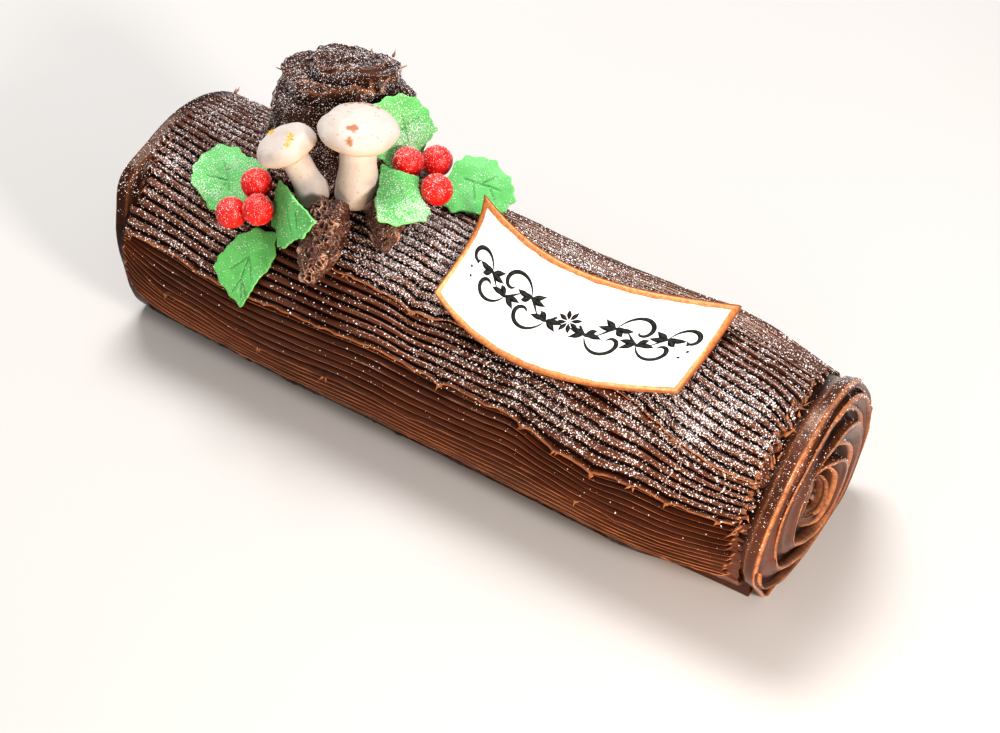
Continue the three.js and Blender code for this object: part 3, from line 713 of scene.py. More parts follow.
# Each cap's x from inside the log to its face, its dents as (degrees, degrees to each
# side, millimetres), the height of its folds, and its painted highlight, sugar and
# painted shade. Its crest winds clockwise out of the eye, as (degrees turned from the top, millimetres from
# the eye).
RIGHT_CAP = {
    "inside": 148.5, "collar": 153.6, "rim": 159.6, "face": 162.0, "outward": 1,
    "radius": 54.4, "centre": (-3.0, 45.0), "eye": (-2.0, 42.0),
    "dents": [(30, 38, -6), (325, 20, 2.5), (205, 20, -6.0), (228, 20, -8.0), (250, 12, -4.0)],
    "crest": [
        (0, 5), (60, 7), (90, 10), (120, 14), (150, 16), (180, 13), (210, 10.5), (240, 12), (270, 14.5),
        (300, 17), (330, 15), (360, 11), (390, 12), (420, 16), (450, 24), (480, 31), (510, 31), (540, 24),
        (570, 20.7), (600, 21.5), (630, 25), (660, 29), (690, 32), (720, 29), (750, 31), (780, 34.5),
        (810, 37.5), (840, 43.5), (870, 39.5), (900, 33), (930, 29.5), (960, 32), (990, 39), (1020, 46),
        (1050, 45), (1080, 46), (1110, 45), (1140, 44.5), (1170, 46.5), (1200, 52), (1230, 45),
        (1260, 39.3), (1290, 38.5), (1320, 43), (1350, 52.5),
    ],
    "height": 6.8, "calm": 2.0, "second": 0.5, "tuck": 1.2, "eye_depth": 9.0, "spokes": 300, "seed": 5,
    "highlight_strength": 0.95, "sugar": 0.10, "shade": 0.0,
}
LEFT_CAP = {
    "inside": -149, "collar": -153.4, "rim": -158.8, "face": -160.4, "outward": -1,
    "radius": 53.4, "centre": (2.0, 42.0), "eye": (0.0, 39.0),
    "dents": [(138, 12, 5.5), (191, 27, -6.8), (75, 50, -2.4)],
    "crest": [
        (0, 5), (180, 11), (360, 18), (540, 22), (720, 33), (900, 31.5), (1080, 46), (1170, 47),
        (1260, 37.3), (1350, 47),
    ],
    "height": 3.4, "calm": 0.8, "second": 0.2, "tuck": 0.0, "eye_depth": 5.0, "spokes": 220, "seed": 8,
    "highlight_strength": 0.45, "sugar": 0.2, "shade": 0.78,
}
# Loops of a collar: (share of the way to the rim, how far it swells, how much painted highlight it has).
COLLAR = [
    (0.0, -0.8, 0.1), (0.1, 0.2, 0.35), (0.2, 0.4, 0.1), (0.35, 0.6, 0), (0.5, 0.8, 0.0),
    (0.6, 0.95, 0.0), (0.72, 1.1, 0.0), (0.84, 1.25, 0.05), (0.93, 1.3, 0.3), (1.0, 0.9, 0.65),
]
HIDDEN_LOOPS = 3                         # the loops of a cap that lie inside the log
# Across a ribbon from one crest to the next: (share of its width, height).
RIBBON = [
    (0, 0.5), (0.035, 0.36), (0.07, -0.1), (0.12, -0.42), (0.2, -0.52), (0.3, -0.48),
    (0.4, -0.36), (0.5, -0.2), (0.54, -0.13), (0.6, -0.04), (0.7, 0.12), (0.8, 0.26),
    (0.87, 0.35), (0.92, 0.41), (0.96, 0.46), (0.985, 0.49),
]
EYE_RINGS = np.arange(9, 0, -1) / 10
EYE_CURL = 0.4                           # how far apart the small curls in the eye are


def cap_reach(cap, angle, radius):
    """From the cap's centre to its outline: a dented circle with a flat foot."""
    dy, dz = np.cos(angle), np.sin(angle)
    cy, cz = cap["centre"][0], cap["centre"][1] - LOG_AXIS_HEIGHT
    toward = cy * dy + cz * dz
    reach = -toward + np.sqrt(toward ** 2 + radius ** 2 - cy ** 2 - cz ** 2)
    for middle, spread, change in cap["dents"]:
        reach = reach + change * bump(np.degrees(angle) % 360, middle, spread)
    foot = cap["centre"][1] / np.maximum(-dz, 1e-6)
    return np.where(dz < 0, np.minimum(reach, foot), reach)


def cap_collar(cap, angle, tuck):
    """Loops of points from inside the log out to the cap's rim."""
    way = stack(np.cos(angle), np.sin(angle), cap["seed"])
    torn = noise(way * 7, 1.0, 1) + 0.6 * noise(way * 19, 1.0, 2)
    wave = 0.6 * noise(way * 2.2, 1.0, 3)

    def ring(share, x, grow):
        reach = share * cap_reach(cap, angle, cap["radius"] + grow)
        y = cap["centre"][0] + reach * np.cos(angle)
        z = cap["centre"][1] + reach * np.sin(angle)
        return stack(x, y, np.maximum(z, 0))

    inside, collar, width = cap["inside"], cap["collar"], cap["rim"] - cap["collar"]
    torn_edge = collar - cap["outward"] * 2.2 + 0.3 * torn
    loops = [ring(0.9, inside, -1), ring(1, inside, -1.8), ring(1, torn_edge, -1.6)]
    for part, grow, _ in COLLAR:
        x = collar + width * part + 0.45 * torn * (part < 0.25) + 0.25 * wave - tuck * part
        loops.append(ring(1, x, grow + wave * 0.9 + 0.12 * torn))
    return np.stack(loops)


def ribbon_shape(cap, facing, mirror, last_turn):
    """Heights across the ribbon on each spoke, its steep side to one side or the other,
    with a second fold between the crests."""
    share, shape = np.array(RIBBON).T
    mirrored = np.interp(1 - share, [*share, 1], [*shape, shape[0]])
    shape = shape * (1 - mirror) + mirrored * mirror
    second = np.where(share <= 0.5, rise(share, 0.2, 0.5), rise(share, 0.55, 0.5))
    shape = shape + cap["second"] * smooth(0.3 + facing) * second
    shape = shape + 0.22 * smooth(0.2 - facing) * bump(share, 0.55, 0.2)
    settled = (0.5 + 0.3 * smooth(0.5 + facing)) * (1 - 0.5 * rise(share, 0.6, 1))
    return np.where(last_turn, shape * settled, shape)


def cap_ribbon(cap, rim, tuck):
    """The ribbon wound from the eye out to the rim: its points across each spoke, and
    how much painted highlight and painted shade they carry."""
    spokes = len(rim)
    total = spokes * cap["crest"][-1][0] // 360
    away = rim[:, 1:] - cap["eye"]
    reach = np.linalg.norm(away, axis=1)
    way = away / reach[:, None]
    heading = np.degrees(np.unwrap(np.arctan2(way[:, 0], way[:, 1])))
    number = np.arange(total + spokes)
    spoke, turn = number % spokes, number // spokes
    turned = heading[spoke] + 360.0 * turn
    bend = stack(turned * 0.35, turn * 9.0, cap["seed"])
    crest = through(turned, cap["crest"]) + 0.5 * noise(bend, 9, 11) + 0.2 * noise(bend, 3, 12)
    crest = np.minimum(crest, reach[spoke] * 0.968)
    last_turn = number[:total] + spokes >= total
    outer = np.where(last_turn, reach[spoke[:total]] * 0.985, crest[spokes:])
    spoke, bend = spoke[:total], bend[:total, None]
    turned, turn, crest = (v[:total, None] for v in (turned, turn, crest))
    outer, last_turn, reach, tuck = (v[:, None] for v in (outer, last_turn, reach[spoke], tuck[spoke]))

    share = np.array(RIBBON)[:, 0]
    facing = np.cos(np.radians(turned - 115))
    narrow = np.minimum(1, (outer - crest) / 5.5)
    mirror = smooth(0.5 - 1.1 * np.cos(np.radians(turned - 75)))
    shape = ribbon_shape(cap, facing, mirror, last_turn)
    lines = 0.12 * noise(stack(share * 14, turned * 0.02, turn), 1.0, 7) * (share > 0.1)
    strength = cap["height"] - cap["calm"] * smooth(0.5 - 0.8 * facing)
    height = strength * (shape * narrow + lines) + 0.25 * noise(bend, 12, 14)

    distance = crest + (outer - crest) * share
    outwards = distance / reach
    hollow = cap["eye_depth"] * bump(distance, 0, 12.5)
    crown = (cap["face"] - cap["rim"]) * (1 - outwards ** 4)
    x = cap["rim"] + crown + cap["outward"] * (height - hollow) - tuck * outwards ** 2
    leaning = distance + 0.9 * bump(share, 0, 0.03) * narrow
    y, z = (cap["eye"][k] + leaning * way[spoke, k:k + 1] for k in range(2))
    # Painted highlight on the crests, the outer edge and a line along the ribbons' middle.
    light = (bump(share, 0, 0.03) + 0.45 * (share > 0.95)) * (0.75 + 0.4 * noise(bend, 5, 15))
    light = np.maximum(light, 0.9 * bump(share, 0.5, 0.02) * smooth(0.3 + facing))
    # Painted shade in the grooves, deepest by the crests and near the eye.
    painted_shade = (1.2 * bump(share, 0.15, 0.13) + 0.3 * bump(share, 0.3, 0.15) * smooth(facing)) * (1 - mirror)
    painted_shade = (painted_shade + 1.2 * mirror * bump(share, 0.86, 0.11)) * np.minimum(1, narrow + 0.2)
    painted_shade = np.maximum(painted_shade, 0.7 * bump(share, 0.6, 0.04) * smooth(0.3 + facing))
    painted_shade = painted_shade * (1 - 0.4 * last_turn * smooth(0.4 - facing))
    return stack(x, y, np.maximum(z, 0)), light, np.maximum(painted_shade, 0.5 * np.exp(-(distance / 8) ** 4))


def swirl_faces(spokes, total, steps, rim, loop):
    """Quads and triangles of a ribbon wound round, of the fan of rings that fills its
    eye, and of its last turn's seam with the rim; rim is that loop's first point."""
    i, j = np.meshgrid(np.arange(total - 1), np.arange(steps - 1), indexing="ij")
    a = (i * steps + j).ravel()
    quads = [np.stack([a, a + steps, a + steps + 1, a + 1], -1)]
    i = np.arange(total - spokes - 1)
    a, b = i * steps + steps - 1, (i + spokes) * steps
    quads.append(np.stack([a, a + steps, b + steps, b], -1))
    i = np.arange(total - spokes, total - 1)
    a = i * steps + steps - 1
    quads.append(np.stack([a, a + steps, rim + (i + 1) % spokes, rim + i % spokes], -1))
    last = total - 1
    seam = [rim + (last + 1) % spokes, rim + last % spokes]
    seam += [last * steps + j for j in range(steps - 1, -1, -1)]
    seam += [(last - spokes) * steps + steps - 1]
    start = (last - spokes + 1) * steps + steps - 1
    triangles = [[start, here, after] for here, after in zip(seam, seam[1:])]
    chain = np.array(loop)
    first = rim + spokes
    rings = first + np.arange(len(EYE_RINGS))[:, None] * len(chain) + np.arange(len(chain))
    for inner, outer in zip(rings, [chain, *rings[:-1]]):
        quads.append(np.stack([inner, np.roll(inner, -1), np.roll(outer, -1), outer], -1))
    triangles += fan(first + rings.size, rings[-1][::-1]).tolist()
    return np.concatenate(quads), np.array(triangles)


def cap_eye(cap, edge):
    """Rings of points that close the eye, the point in their middle, and where on them
    the small curls are high."""
    eye_y, eye_z = cap["eye"]
    depth = cap["outward"] * (cap["eye_depth"] + 1.5)
    middle = np.array([cap["face"] - depth, eye_y + 2.0, eye_z - 1.5])
    curl = np.cos(2 * np.pi * EYE_RINGS / EYE_CURL)
    rings = [
        middle + (edge - middle) * [part ** 1.5, part, part] + [cap["outward"] * 1.1 * ripple, 0, 0]
        for part, ripple in zip(EYE_RINGS, curl)
    ]
    return rings, middle, curl


def end_cap(name, cap):
    """Makes a swirled disc, and gives its skin and how much sugar lies on it."""
    spokes = cap["spokes"]
    angle = np.pi / 2 - 2 * np.pi * np.arange(spokes) / spokes
    tuck = cap["outward"] * cap["tuck"] * bump(np.degrees(angle) % 360, 243, 30)
    loops = cap_collar(cap, angle, tuck)
    rim, collar = loops[-1], loops[:-1]
    strip, light, painted_shade = cap_ribbon(cap, rim, tuck)
    total, steps = strip.shape[:2]
    strip = strip.reshape(-1, 3)

    loop = [k * steps for k in range(spokes + 1)] + list(range(steps - 1, 0, -1))
    rings, middle, curl = cap_eye(cap, strip[loop])
    front = np.concatenate([strip, rim, *rings, middle[None]])
    quads, triangles = swirl_faces(spokes, total, steps, len(strip), loop)

    start, column = len(front), np.arange(spokes)
    before, after = start + (len(collar) - 1) * spokes, (column + 1) % spokes
    join = np.stack([before + column, before + after, len(strip) + after, len(strip) + column], -1)
    back = wrap_quads(len(collar), spokes)[:, ::-1] + start
    points = np.concatenate([front, collar.reshape(-1, 3), [[cap["inside"], *cap["centre"]]]])
    skin = outward((
        points,
        np.concatenate([quads, back, join[:, ::-1]]),
        np.concatenate([triangles, fan(len(points) - 1, start + column[::-1])[:, ::-1]]),
    ))

    # Painted highlight on the curls of the eye and on the collar's loops.
    loop_painted_highlight = [0] * HIDDEN_LOOPS + [highlight_strength * cap["highlight_strength"] for _, _, highlight_strength in COLLAR]
    light = np.concatenate([
        light.ravel(), np.full(spokes, loop_painted_highlight[-1]),
        np.repeat(0.15 * np.clip(curl, 0, 1) ** 5, len(loop)), [0],
        np.repeat(loop_painted_highlight[:-1], spokes), [0],
    ])
    # Painted shade in the eye and on the collar, as cap["shade"] says.
    loop_painted_shade = [0.95] * HIDDEN_LOOPS + [cap["shade"]] * (len(COLLAR) - 1)
    painted_shade = np.concatenate([
        painted_shade.ravel(), np.zeros(spokes), np.repeat(0.8 - 0.3 * curl, len(loop)), [0.95],
        np.repeat(loop_painted_shade, spokes), [0.95],
    ])
    sugar = cap["sugar"] * rise(skin_normals(skin)[:, 2], 0.1, 0.6) * rise(points[:, 2], 25, 55)
    sugar = sugar * (1 - np.clip(painted_shade - cap["shade"], 0, 1))
    # edge carries the painted highlight and hollow the painted shade.
    build(
        name, skin, GANACHE, "ganache", ["log"],
        edge=np.clip(light, 0, 1), hollow=np.clip(painted_shade, 0, 1), sugar=sugar * 0.5,
    )
    return skin, sugar


right_cap = end_cap("swirl_right", RIGHT_CAP)
left_cap = end_cap("swirl_left", LEFT_CAP)

# --------------------------------------------------------------------- the stump

STUMP_TOP = np.array([-94.0, 32.0, 124.5])
STUMP_LEAN = (-0.326, 0.33)
STUMP_RADIUS = 26.0
STUMP_SPOKES, STUMP_RINGS, STUMP_ROWS = 260, 74, 66
STUMP_ROOT, STUMP_ROOT_SHARE = 16, 0.7   # how deep in the log it ends, and how wide there


def stump_frame():
    """The directions of the stump's axis, of its right side and of its back."""
    lean_x, lean_y = STUMP_LEAN
    axis = np.array([lean_x, lean_y, math.sqrt(1 - lean_x ** 2 - lean_y ** 2)])
    side = unit(np.array([1.0, 0, 0]) - axis * lean_x)
    return axis, side, np.cross(axis, side)


STUMP_AXIS, STUMP_SIDE, STUMP_BACK = stump_frame()


def stump_point(radius, angle, depth):
    radius, angle, depth = (v[..., None] for v in np.broadcast_arrays(radius, angle, depth))
    across = STUMP_SIDE * radius * np.cos(angle) + STUMP_BACK * radius * np.sin(angle)
    return STUMP_TOP + across - STUMP_AXIS * depth


def stump_foot(angle):
    """How deep below the rim a line down the stump's side meets the log."""
    start = stump_point(STUMP_RADIUS, angle, 0.0)
    y, z = start[..., 1], start[..., 2] - LOG_AXIS_HEIGHT
    a = STUMP_AXIS[1] ** 2 + STUMP_AXIS[2] ** 2
    b = -(y * STUMP_AXIS[1] + z * STUMP_AXIS[2])
    c = y * y + z * z - LOG_RADIUS ** 2
    return (-b - np.sqrt(np.maximum(0, b * b - a * c))) / a


def towards(angle, degrees):
    """From -1 to 1, the most where the angle points to these degrees."""
    return np.cos(angle - math.radians(degrees))


def off_centre(share, angle, x, y):
    """How far a point of the stump's top is from (x, y), in shares of its radius."""
    return np.hypot(share * np.cos(angle) - x, share * np.sin(angle) - y)


def stump_top(angle, ring):
    """Radius, depth, painted highlight, painted shade and bareness of the crumpled swirl on top."""
    share = np.linspace(0.03, 1, STUMP_RINGS)[:, None]
    flat = share[..., None] * ring
    warp = 0.55 * noise(flat * 2.3, 1.0, 4) + 0.16 * noise(flat * 5, 1.0, 5)
    warp = warp + 0.04 * noise(flat * 14, 1.0, 15)
    swirl = (1.1 + 0.5 * towards(angle, 290)) * share ** 1.2 - angle / (2 * np.pi) + warp
    phase = swirl - np.floor(swirl)
    fold = np.where(phase < 0.8, (phase / 0.8) ** 1.3, ((1 - phase) / 0.2) ** 0.8)
    fold_height = 2.2 * (fold - 0.45) * (1 - 0.5 * rise(share, 0.8, 1))
    mound_x, mound_y = 0.5 * math.cos(math.radians(132)), 0.5 * math.sin(math.radians(132))
    mound = 1.4 * (1 - share ** 2) + 2.2 * bump(off_centre(share, angle, mound_x, mound_y), 0, 0.5)
    turn = (np.degrees(angle) - 195) % 360 / 150
    gap_line = 0.36 + 0.6 * turn + 0.08 * noise(ring * 3, 1.0, 41)
    gap_here = rise(turn, 0, 0.35) * rise(turn, 1.12, 1)
    outside = rise(share, gap_line, gap_line + 0.05) * gap_here
    gap = bump(share, gap_line + 0.06, 0.05) * gap_here
    glossy = bump(off_centre(share, angle, 0.66, -0.2), 0, 0.27) * (1 - outside)
    spot = stump_point(STUMP_RADIUS * share, angle, 0.0)
    grit = 0.7 * rough(spot, 3, 9) + 0.45 * rough(spot * [1, 1, 0.3], 1.2, 10)
    petal = 1.3 * noise(ring * 2.6, 1.0, 21) + 0.6 * noise(ring * 8, 1.0, 22)
    depth = 3.2 * towards(angle, 335) * share - mound - fold_height * (1 - 0.8 * glossy)
    depth = depth + 3.3 * outside + 2.8 * gap - grit * (1 - 0.85 * glossy) - petal * rise(share, 0.6, 1)
    uneven = 0.05 * noise(ring * 2.4, 1.0, 6) + 0.03 * noise(ring * 8, 1.0, 7)
    uneven = uneven - 0.07 * bump(angle, math.radians(190), 0.6)
    radius = STUMP_RADIUS * share * (1 + uneven * share)
    # Painted highlight along the fold crests.
    light = 0.5 * np.clip(1 - np.abs(phase - 0.8) / 0.04, 0, 1) * rise(share, 0.06, 0.16)
    # Painted shade: some everywhere, more in the fold troughs and the gap, less on the glossy patch.
    painted_shade = (np.clip(1 - phase / 0.14, 0, 1) + np.clip((phase - 0.93) / 0.05, 0, 1)) * rise(share, 0, 0.2)
    painted_shade = 0.5 + 0.5 * np.maximum(0.6 * painted_shade, gap) - 0.4 * glossy
    return radius, depth, light, painted_shade, 1 - 0.95 * glossy


def stump_side(angle, ring, rim_radius, rim_depth):
    """Points, painted highlight and painted shade of the fibrous side, from the rim down to the log."""
    down = np.concatenate([[0.012, 0.03, 0.06, 0.09], np.linspace(0.12, 1, STUMP_ROWS)])[:, None]
    foot = stump_foot(angle)
    depth = rim_depth + 1.0 + (foot + 0.5 - rim_depth) * down
    from_foot = foot - depth
    left = 0.5 - 0.5 * towards(angle, -10)
    radius = STUMP_RADIUS + (rim_radius - STUMP_RADIUS) * (1 - rise(down, 0, 0.25))
    radius = radius + 1.4 * np.sin(np.pi * down) + (2.5 + 11 * left) * np.exp(-from_foot / 8.5)
    radius = radius + 0.55 * np.sin(15 * angle + 1.5 * noise(ring * 2, 1.0, 2)) * smooth(down * 3)
    radius = radius + 1.6 * (0.5 - 0.5 * np.cos(angle)) * (bump(depth, 13, 9) - bump(depth, 0, 6))
    radius = radius - 1.1 * bump(down, 0.12, 0.06) * (0.6 + 0.5 * noise(ring * 3, 1.0, 8))
    radius = radius + 3.0 * bump(angle, math.radians(20), 0.7) * rise(depth, 8, 14)
    radius = radius + 0.4 * np.sin(2 * np.pi * from_foot / 1.7) * left ** 2 * rise(from_foot, 13, 7)
    sweep = stack(ring[:, 0] * 26 + down * 3, ring[:, 1] * 26, depth * 0.22)
    fibres = 0.75 * noise(sweep, 3.0, 31) + 0.55 * noise(sweep, 1.4, 32)
    skin = stump_point(radius, angle, depth)
    crumbs = 1.0 * rough(skin, 4.2, 14) + 0.6 * rough(skin, 1.5, 15)
    points = stump_point(radius + (fibres + crumbs) * smooth(down * 7), angle, depth)
    # Painted highlight just under the rim and on the fibres' crests.
    light = 0.35 * bump(down, 0.015, 0.012) * (0.6 + 0.6 * noise(ring * 5, 1.0, 3))
    light = light + 0.25 * rise(fibres, 0.6, 1) * rise(down, 0.5, 0.2)
    # Painted shade: some everywhere, more in the groove under the rim and between the fibres.
    return points, light, 0.40 + 0.45 * bump(down, 0.11, 0.04) + 0.4 * rise(fibres, -0.2, -0.7)


def stump():
    """Makes the stump, and gives its skin and how much sugar lies on it."""
    angle = circle(STUMP_SPOKES)
    ring = stack(np.cos(angle), np.sin(angle), 0)
    radius, depth, top_painted_highlight, top_painted_shade, top_bare = stump_top(angle, ring)
    side, side_painted_highlight, side_painted_shade = stump_side(angle, ring, radius[-1], depth[-1])
    root = stump_point(STUMP_RADIUS * STUMP_ROOT_SHARE, angle, stump_foot(angle) + STUMP_ROOT)
    none = np.zeros((1, STUMP_SPOKES))
    grid = np.concatenate([stump_point(radius, angle, depth), side, root[None]])
    light = np.clip(np.concatenate([top_painted_highlight, side_painted_highlight, none]), 0, 1)
    painted_shade = np.clip(np.concatenate([top_painted_shade, side_painted_shade, none]), 0, 1)
    bare = np.concatenate([top_bare, np.ones((len(side) + 1, STUMP_SPOKES))])
    facing_up = grid_normals(grid)[..., 2]
    cover = (0.5 - 0.16 * smooth(facing_up)) * rise(facing_up, -0.55, 0.25) * bare
    cover = cover * (0.7 + 0.6 * rough(grid, 6, 44)) * (1 - 0.8 * rise(painted_shade, 0.6, 1))
    sugar = with_ends(np.clip(cover, 0, 0.6))
    skin = loft(grid, stump_point(0.0, 0.0, -4.5), STUMP_TOP - 75 * STUMP_AXIS)
    # edge carries the painted highlight and hollow the painted shade.
    build(
        "stump", skin, GANACHE, "ganache", ["log"],
        edge=with_ends(light), hollow=with_ends(painted_shade), sugar=sugar * 0.25,
    )
    return skin, sugar


stump_skin = stump()

# ------------------------------------------------------------- torn ganache shards

# Shards on the stump: (degrees round it, depth below the rim, length, how much they rise).
STUMP_SHARDS = [
    (203, 9.0, 4.2, 0.9), (196, 8.0, 3.0, 1.6), (207, 0.8, 2.4, 0.3), (93, 0.5, 3.0, 1.4),
    (18, 2.2, 2.6, 0.2), (12, 12.5, 2.8, 0.9), (62, 0.4, 3.0, 1.6),
]
# Shards that stand up at the back of the left end: (along the log, down it, length).
LEFT_SHARDS = [(0.1, -1.4, 3.6), (-0.8, -1.0, 2.6), (0.9, -1.1, 2.4)]


def shard(start, heading, up, length, width, curl):
    """A thin torn sliver of ganache that tapers to a point and curls up."""
    heading, up = unit(heading), unit(up)
    across = unit(np.cross(heading, up))
    t = np.linspace(0, 1, 7)[:, None]
    spine = start + heading * length * (t - 0.3 * abs(curl) * t ** 3) + up * curl * length * t ** 2
    half = across * 0.5 * width * (1 - t) ** 0.7 * (1 + 0.3 * np.sin(6 * t))
    thick = up * (0.22 + 0.2 * (1 - t))
    return loft(np.stack([spine + half, spine + thick, spine - half, spine - thick], 1))


def log_shard(x, angle, radius, along_x, down, lift, length, width, curl):
    """A shard on the log that heads along it, down round it and away from it."""
    normal = round_log(0.0, angle, 1.0) - [0, 0, LOG_AXIS_HEIGHT]
    tangent = np.cross([1.0, 0, 0], normal)
    heading = np.array([along_x, 0, 0]) + tangent * down + normal * lift
    return shard(round_log(x, angle, radius), heading, normal, length, width, curl)


def shards():
    """Makes the torn slivers of ganache at both ends, on the lips and on the stump."""
    pick, parts = random.uniform, []
    for angle in np.linspace(96, 162, 34):
        angle = angle + pick(-1.5, 1.5)
        parts.append(log_shard(
            pick(146.5, 151.5), angle, LOG_RADIUS + pick(-0.8, 0.8), pick(-0.7, 1),
            pick(-1, 1), pick(0.1, 0.7), pick(2, 6), pick(0.7, 1.7), pick(-0.2, 0.5),
        ))
    for name in ("third", "upper", "lower"):
        for place, hang in SPIKES[name]:
            angle = lip_angle(name, np.array([float(place)]))[0] + hang * 0.7
            for part in range(2):
                parts.append(log_shard(
                    place + part * 1.2, angle, LOG_RADIUS + 1.4, pick(-1.2, 0.8), 1.0, 0.4,
                    1.8 + 0.5 * hang - 0.5 * part, 1.2, pick(0.1, 0.6),
                ))
    for angle in np.linspace(112, 190, 16):
        angle = angle + pick(-2, 2)
        parts.append(log_shard(
            pick(-151.5, -148.5), angle, LOG_RADIUS - 0.8, pick(-0.4, 0.8),
            pick(-1, 1), 0.4, pick(2, 4.5), pick(0.7, 1.4), pick(-0.3, 0.4),
        ))
    for along_x, down, length in LEFT_SHARDS:
        parts.append(log_shard(-149.5, 60, LOG_RADIUS + 0.3, along_x, down, 1.6, length, 1.3, 0.1))
    for degrees, deep, length, rising in STUMP_SHARDS:
        angle = math.radians(degrees)
        start = stump_point(STUMP_RADIUS - 0.2 + 0.3 * deep * (degrees < 20), angle, deep)
        heading = unit(stump_point(STUMP_RADIUS, angle, 0.0) - STUMP_TOP) + STUMP_AXIS * rising
        parts.append(shard(start, heading, STUMP_AXIS, length, 2.6, 0.15))
    skin = merge(parts)
    count = len(skin[0])
    # Every shard gets a half-strength painted highlight.
    build(
        "torn_ganache", skin, GANACHE, "ganache",
        edge=np.full(count, 0.5), hollow=np.zeros(count), sugar=np.full(count, 0.05),
    )


shards()

# ------------------------------------------------------------------------- sugar

OCTAHEDRON = (
    np.array([[1, 0, 0], [0, 1, 0], [-1, 0, 0], [0, -1, 0], [0, 0, 1], [0, 0, -1]], float),
    np.array([[0, 1, 4], [1, 2, 4], [2, 3, 4], [3, 0, 4], [1, 0, 5], [2, 1, 5], [3, 2, 5], [0, 3, 5]]),
)
TETRAHEDRON = (
    np.array([[1, 1, 1], [1, -1, -1], [-1, 1, -1], [-1, -1, 1]], float) * 0.8,
    np.array([[0, 1, 2], [0, 3, 1], [0, 2, 3], [1, 3, 2]]),
)
GRAIN_LIFT = 0.35                        # a grain's middle is this share of its size above


def covered_areas(skin, cover):
    """The area of each triangle of a skin, times how much of it sugar hides."""
    split, a, b, c = corners(skin)
    return 0.5 * np.linalg.norm(np.cross(b - a, c - a), axis=1) * cover[split].mean(1)


def scatter(skin, cover, count):
    """Random places on a skin, more of them where cover is high."""
    _, a, b, c = corners(skin)
    weight = covered_areas(skin, cover)
    chosen = random.choice(len(weight), count, p=weight / weight.sum())
    a, b, c = a[chosen], b[chosen], c[chosen]
    u, v = random.random((2, count, 1))
    fold = u + v > 1
    u, v = np.where(fold, 1 - u, u), np.where(fold, 1 - v, v)
    return a + (b - a) * u + (c - a) * v, unit(np.cross(b - a, c - a))


def grains(name, places, normals, small, large, form=TETRAHEDRON, material=SUGAR, slot="ganache"):
    """Sugar grains as small crooked crystals, sunk a little into the surface."""
    count = len(places)
    corners_of, faces_of = form
    size = (small + (large - small) * random.random(count) ** 1.8)[:, None, None]
    turn = random.normal(size=(count, 3, 3))
    first = unit(turn[:, 0])
    second = unit(turn[:, 1] - first * np.einsum("ij,ij->i", first, turn[:, 1])[:, None])
    basis = np.stack([first, second, np.cross(first, second)], 1)
    shape = corners_of * (size * random.uniform(0.7, 1.25, (count, 1, 3)))
    points = np.einsum("nij,njk->nik", shape, basis) + places[:, None] + normals[:, None] * size * GRAIN_LIFT
    faces = faces_of + (np.arange(count) * len(corners_of))[:, None, None]
    skin = points.reshape(-1, 3), np.zeros((0, 4), int), faces.reshape(-1, 3)
    build(name, skin, material, slot, smooth_faces=False)


def frost(name, skins, count, small, large, **more):
    """One piece of sugar over several (skin, cover), shared out by covered area."""
    weights = np.array([covered_areas(skin, cover).sum() for skin, cover in skins])
    shares = weights / weights.sum()
    spots = [scatter(skin, cover, int(count * share)) for (skin, cover), share in zip(skins, shares)]
    places, normals = (np.concatenate(values) for values in zip(*spots))
    grains(name, places, normals, small, large, **more)


on_crests = [(log_skin, log_sugar * (0.06 + 0.94 * with_ends(log_high) ** 1.5))]
stump_and_ends = [stump_skin, right_cap, left_cap]
frost("sugar_on_log", on_crests, 25000, 0.13, 0.38)
frost("fine_sugar_on_log", on_crests, 24000, 0.09, 0.15)
frost("sugar_on_stump_and_ends", stump_and_ends, 12000, 0.10, 0.27)
frost("fine_sugar_on_stump_and_ends", stump_and_ends, 8000, 0.09, 0.14)

# -------------------------------------------------------------------- the plaque

PLAQUE = {
    "x": 52.6, "arc": -22.8, "length": 111.2, "width": 44.8, "thickness": 2.0,
    "sag": 12.8, "skew": -2.8, "turn": 5.1, "fan": 1.1,
    "lift": 3.6, "edge_lift": 5.2, "left_curl": 6.4, "left_pull": 4, "right_curl": 4,
}
PLAQUE_COLUMNS, PLAQUE_ROWS = 124, 50

# Heights of a stroke above the icing, at its edges, along its middle and below it.
STROKE_EDGE, STROKE_TOP, STROKE_FOOT = 0.1, 0.22, -0.15
TENDRILS, STAR_POINTS = 4, 8
LEAFLETS = [(8, 8.0), (44, 6.5), (160, 6.5), (200, 5.0)]   # (degrees, length)
DOTS = [(46.4, -4.4), (48.2, -1.0), (46.6, 2.4)]
DOT_RINGS = [(0.55, -0.1), (0.6, 0.08), (0.35, 0.24)]       # (radius, height)
STAR_MIDDLE = np.array([0, 1.5])


def plaque_point(s, t, above):
    """A point of the plaque: s runs along it and t across it, both from -1 to 1."""
    p = PLAQUE
    left_corner = (np.maximum(0, t - s - 0.5) / 1.5) ** 2
    right_corner = (np.maximum(0, t + s - 0.5) / 1.5) ** 2
    peak = (np.maximum(0, t - s - 1.0)) ** 3
    x = p["x"] + s * p["length"] / 2 + p["fan"] * s * t - p["left_pull"] * left_corner
    x = x + 3.2 * left_corner * (1 - peak)
    arc = p["arc"] + t * p["width"] / 2 + p["sag"] * s * s + p["turn"] * s + p["skew"] * s ** 3
    curl = p["left_curl"] * (0.55 * left_corner + 0.45 * peak) + p["right_curl"] * right_corner
    lift = p["lift"] + p["edge_lift"] * t * t + curl
    return round_log(x, 90 - np.degrees(arc / (LOG_RADIUS + 4)), LOG_RADIUS + lift + above)


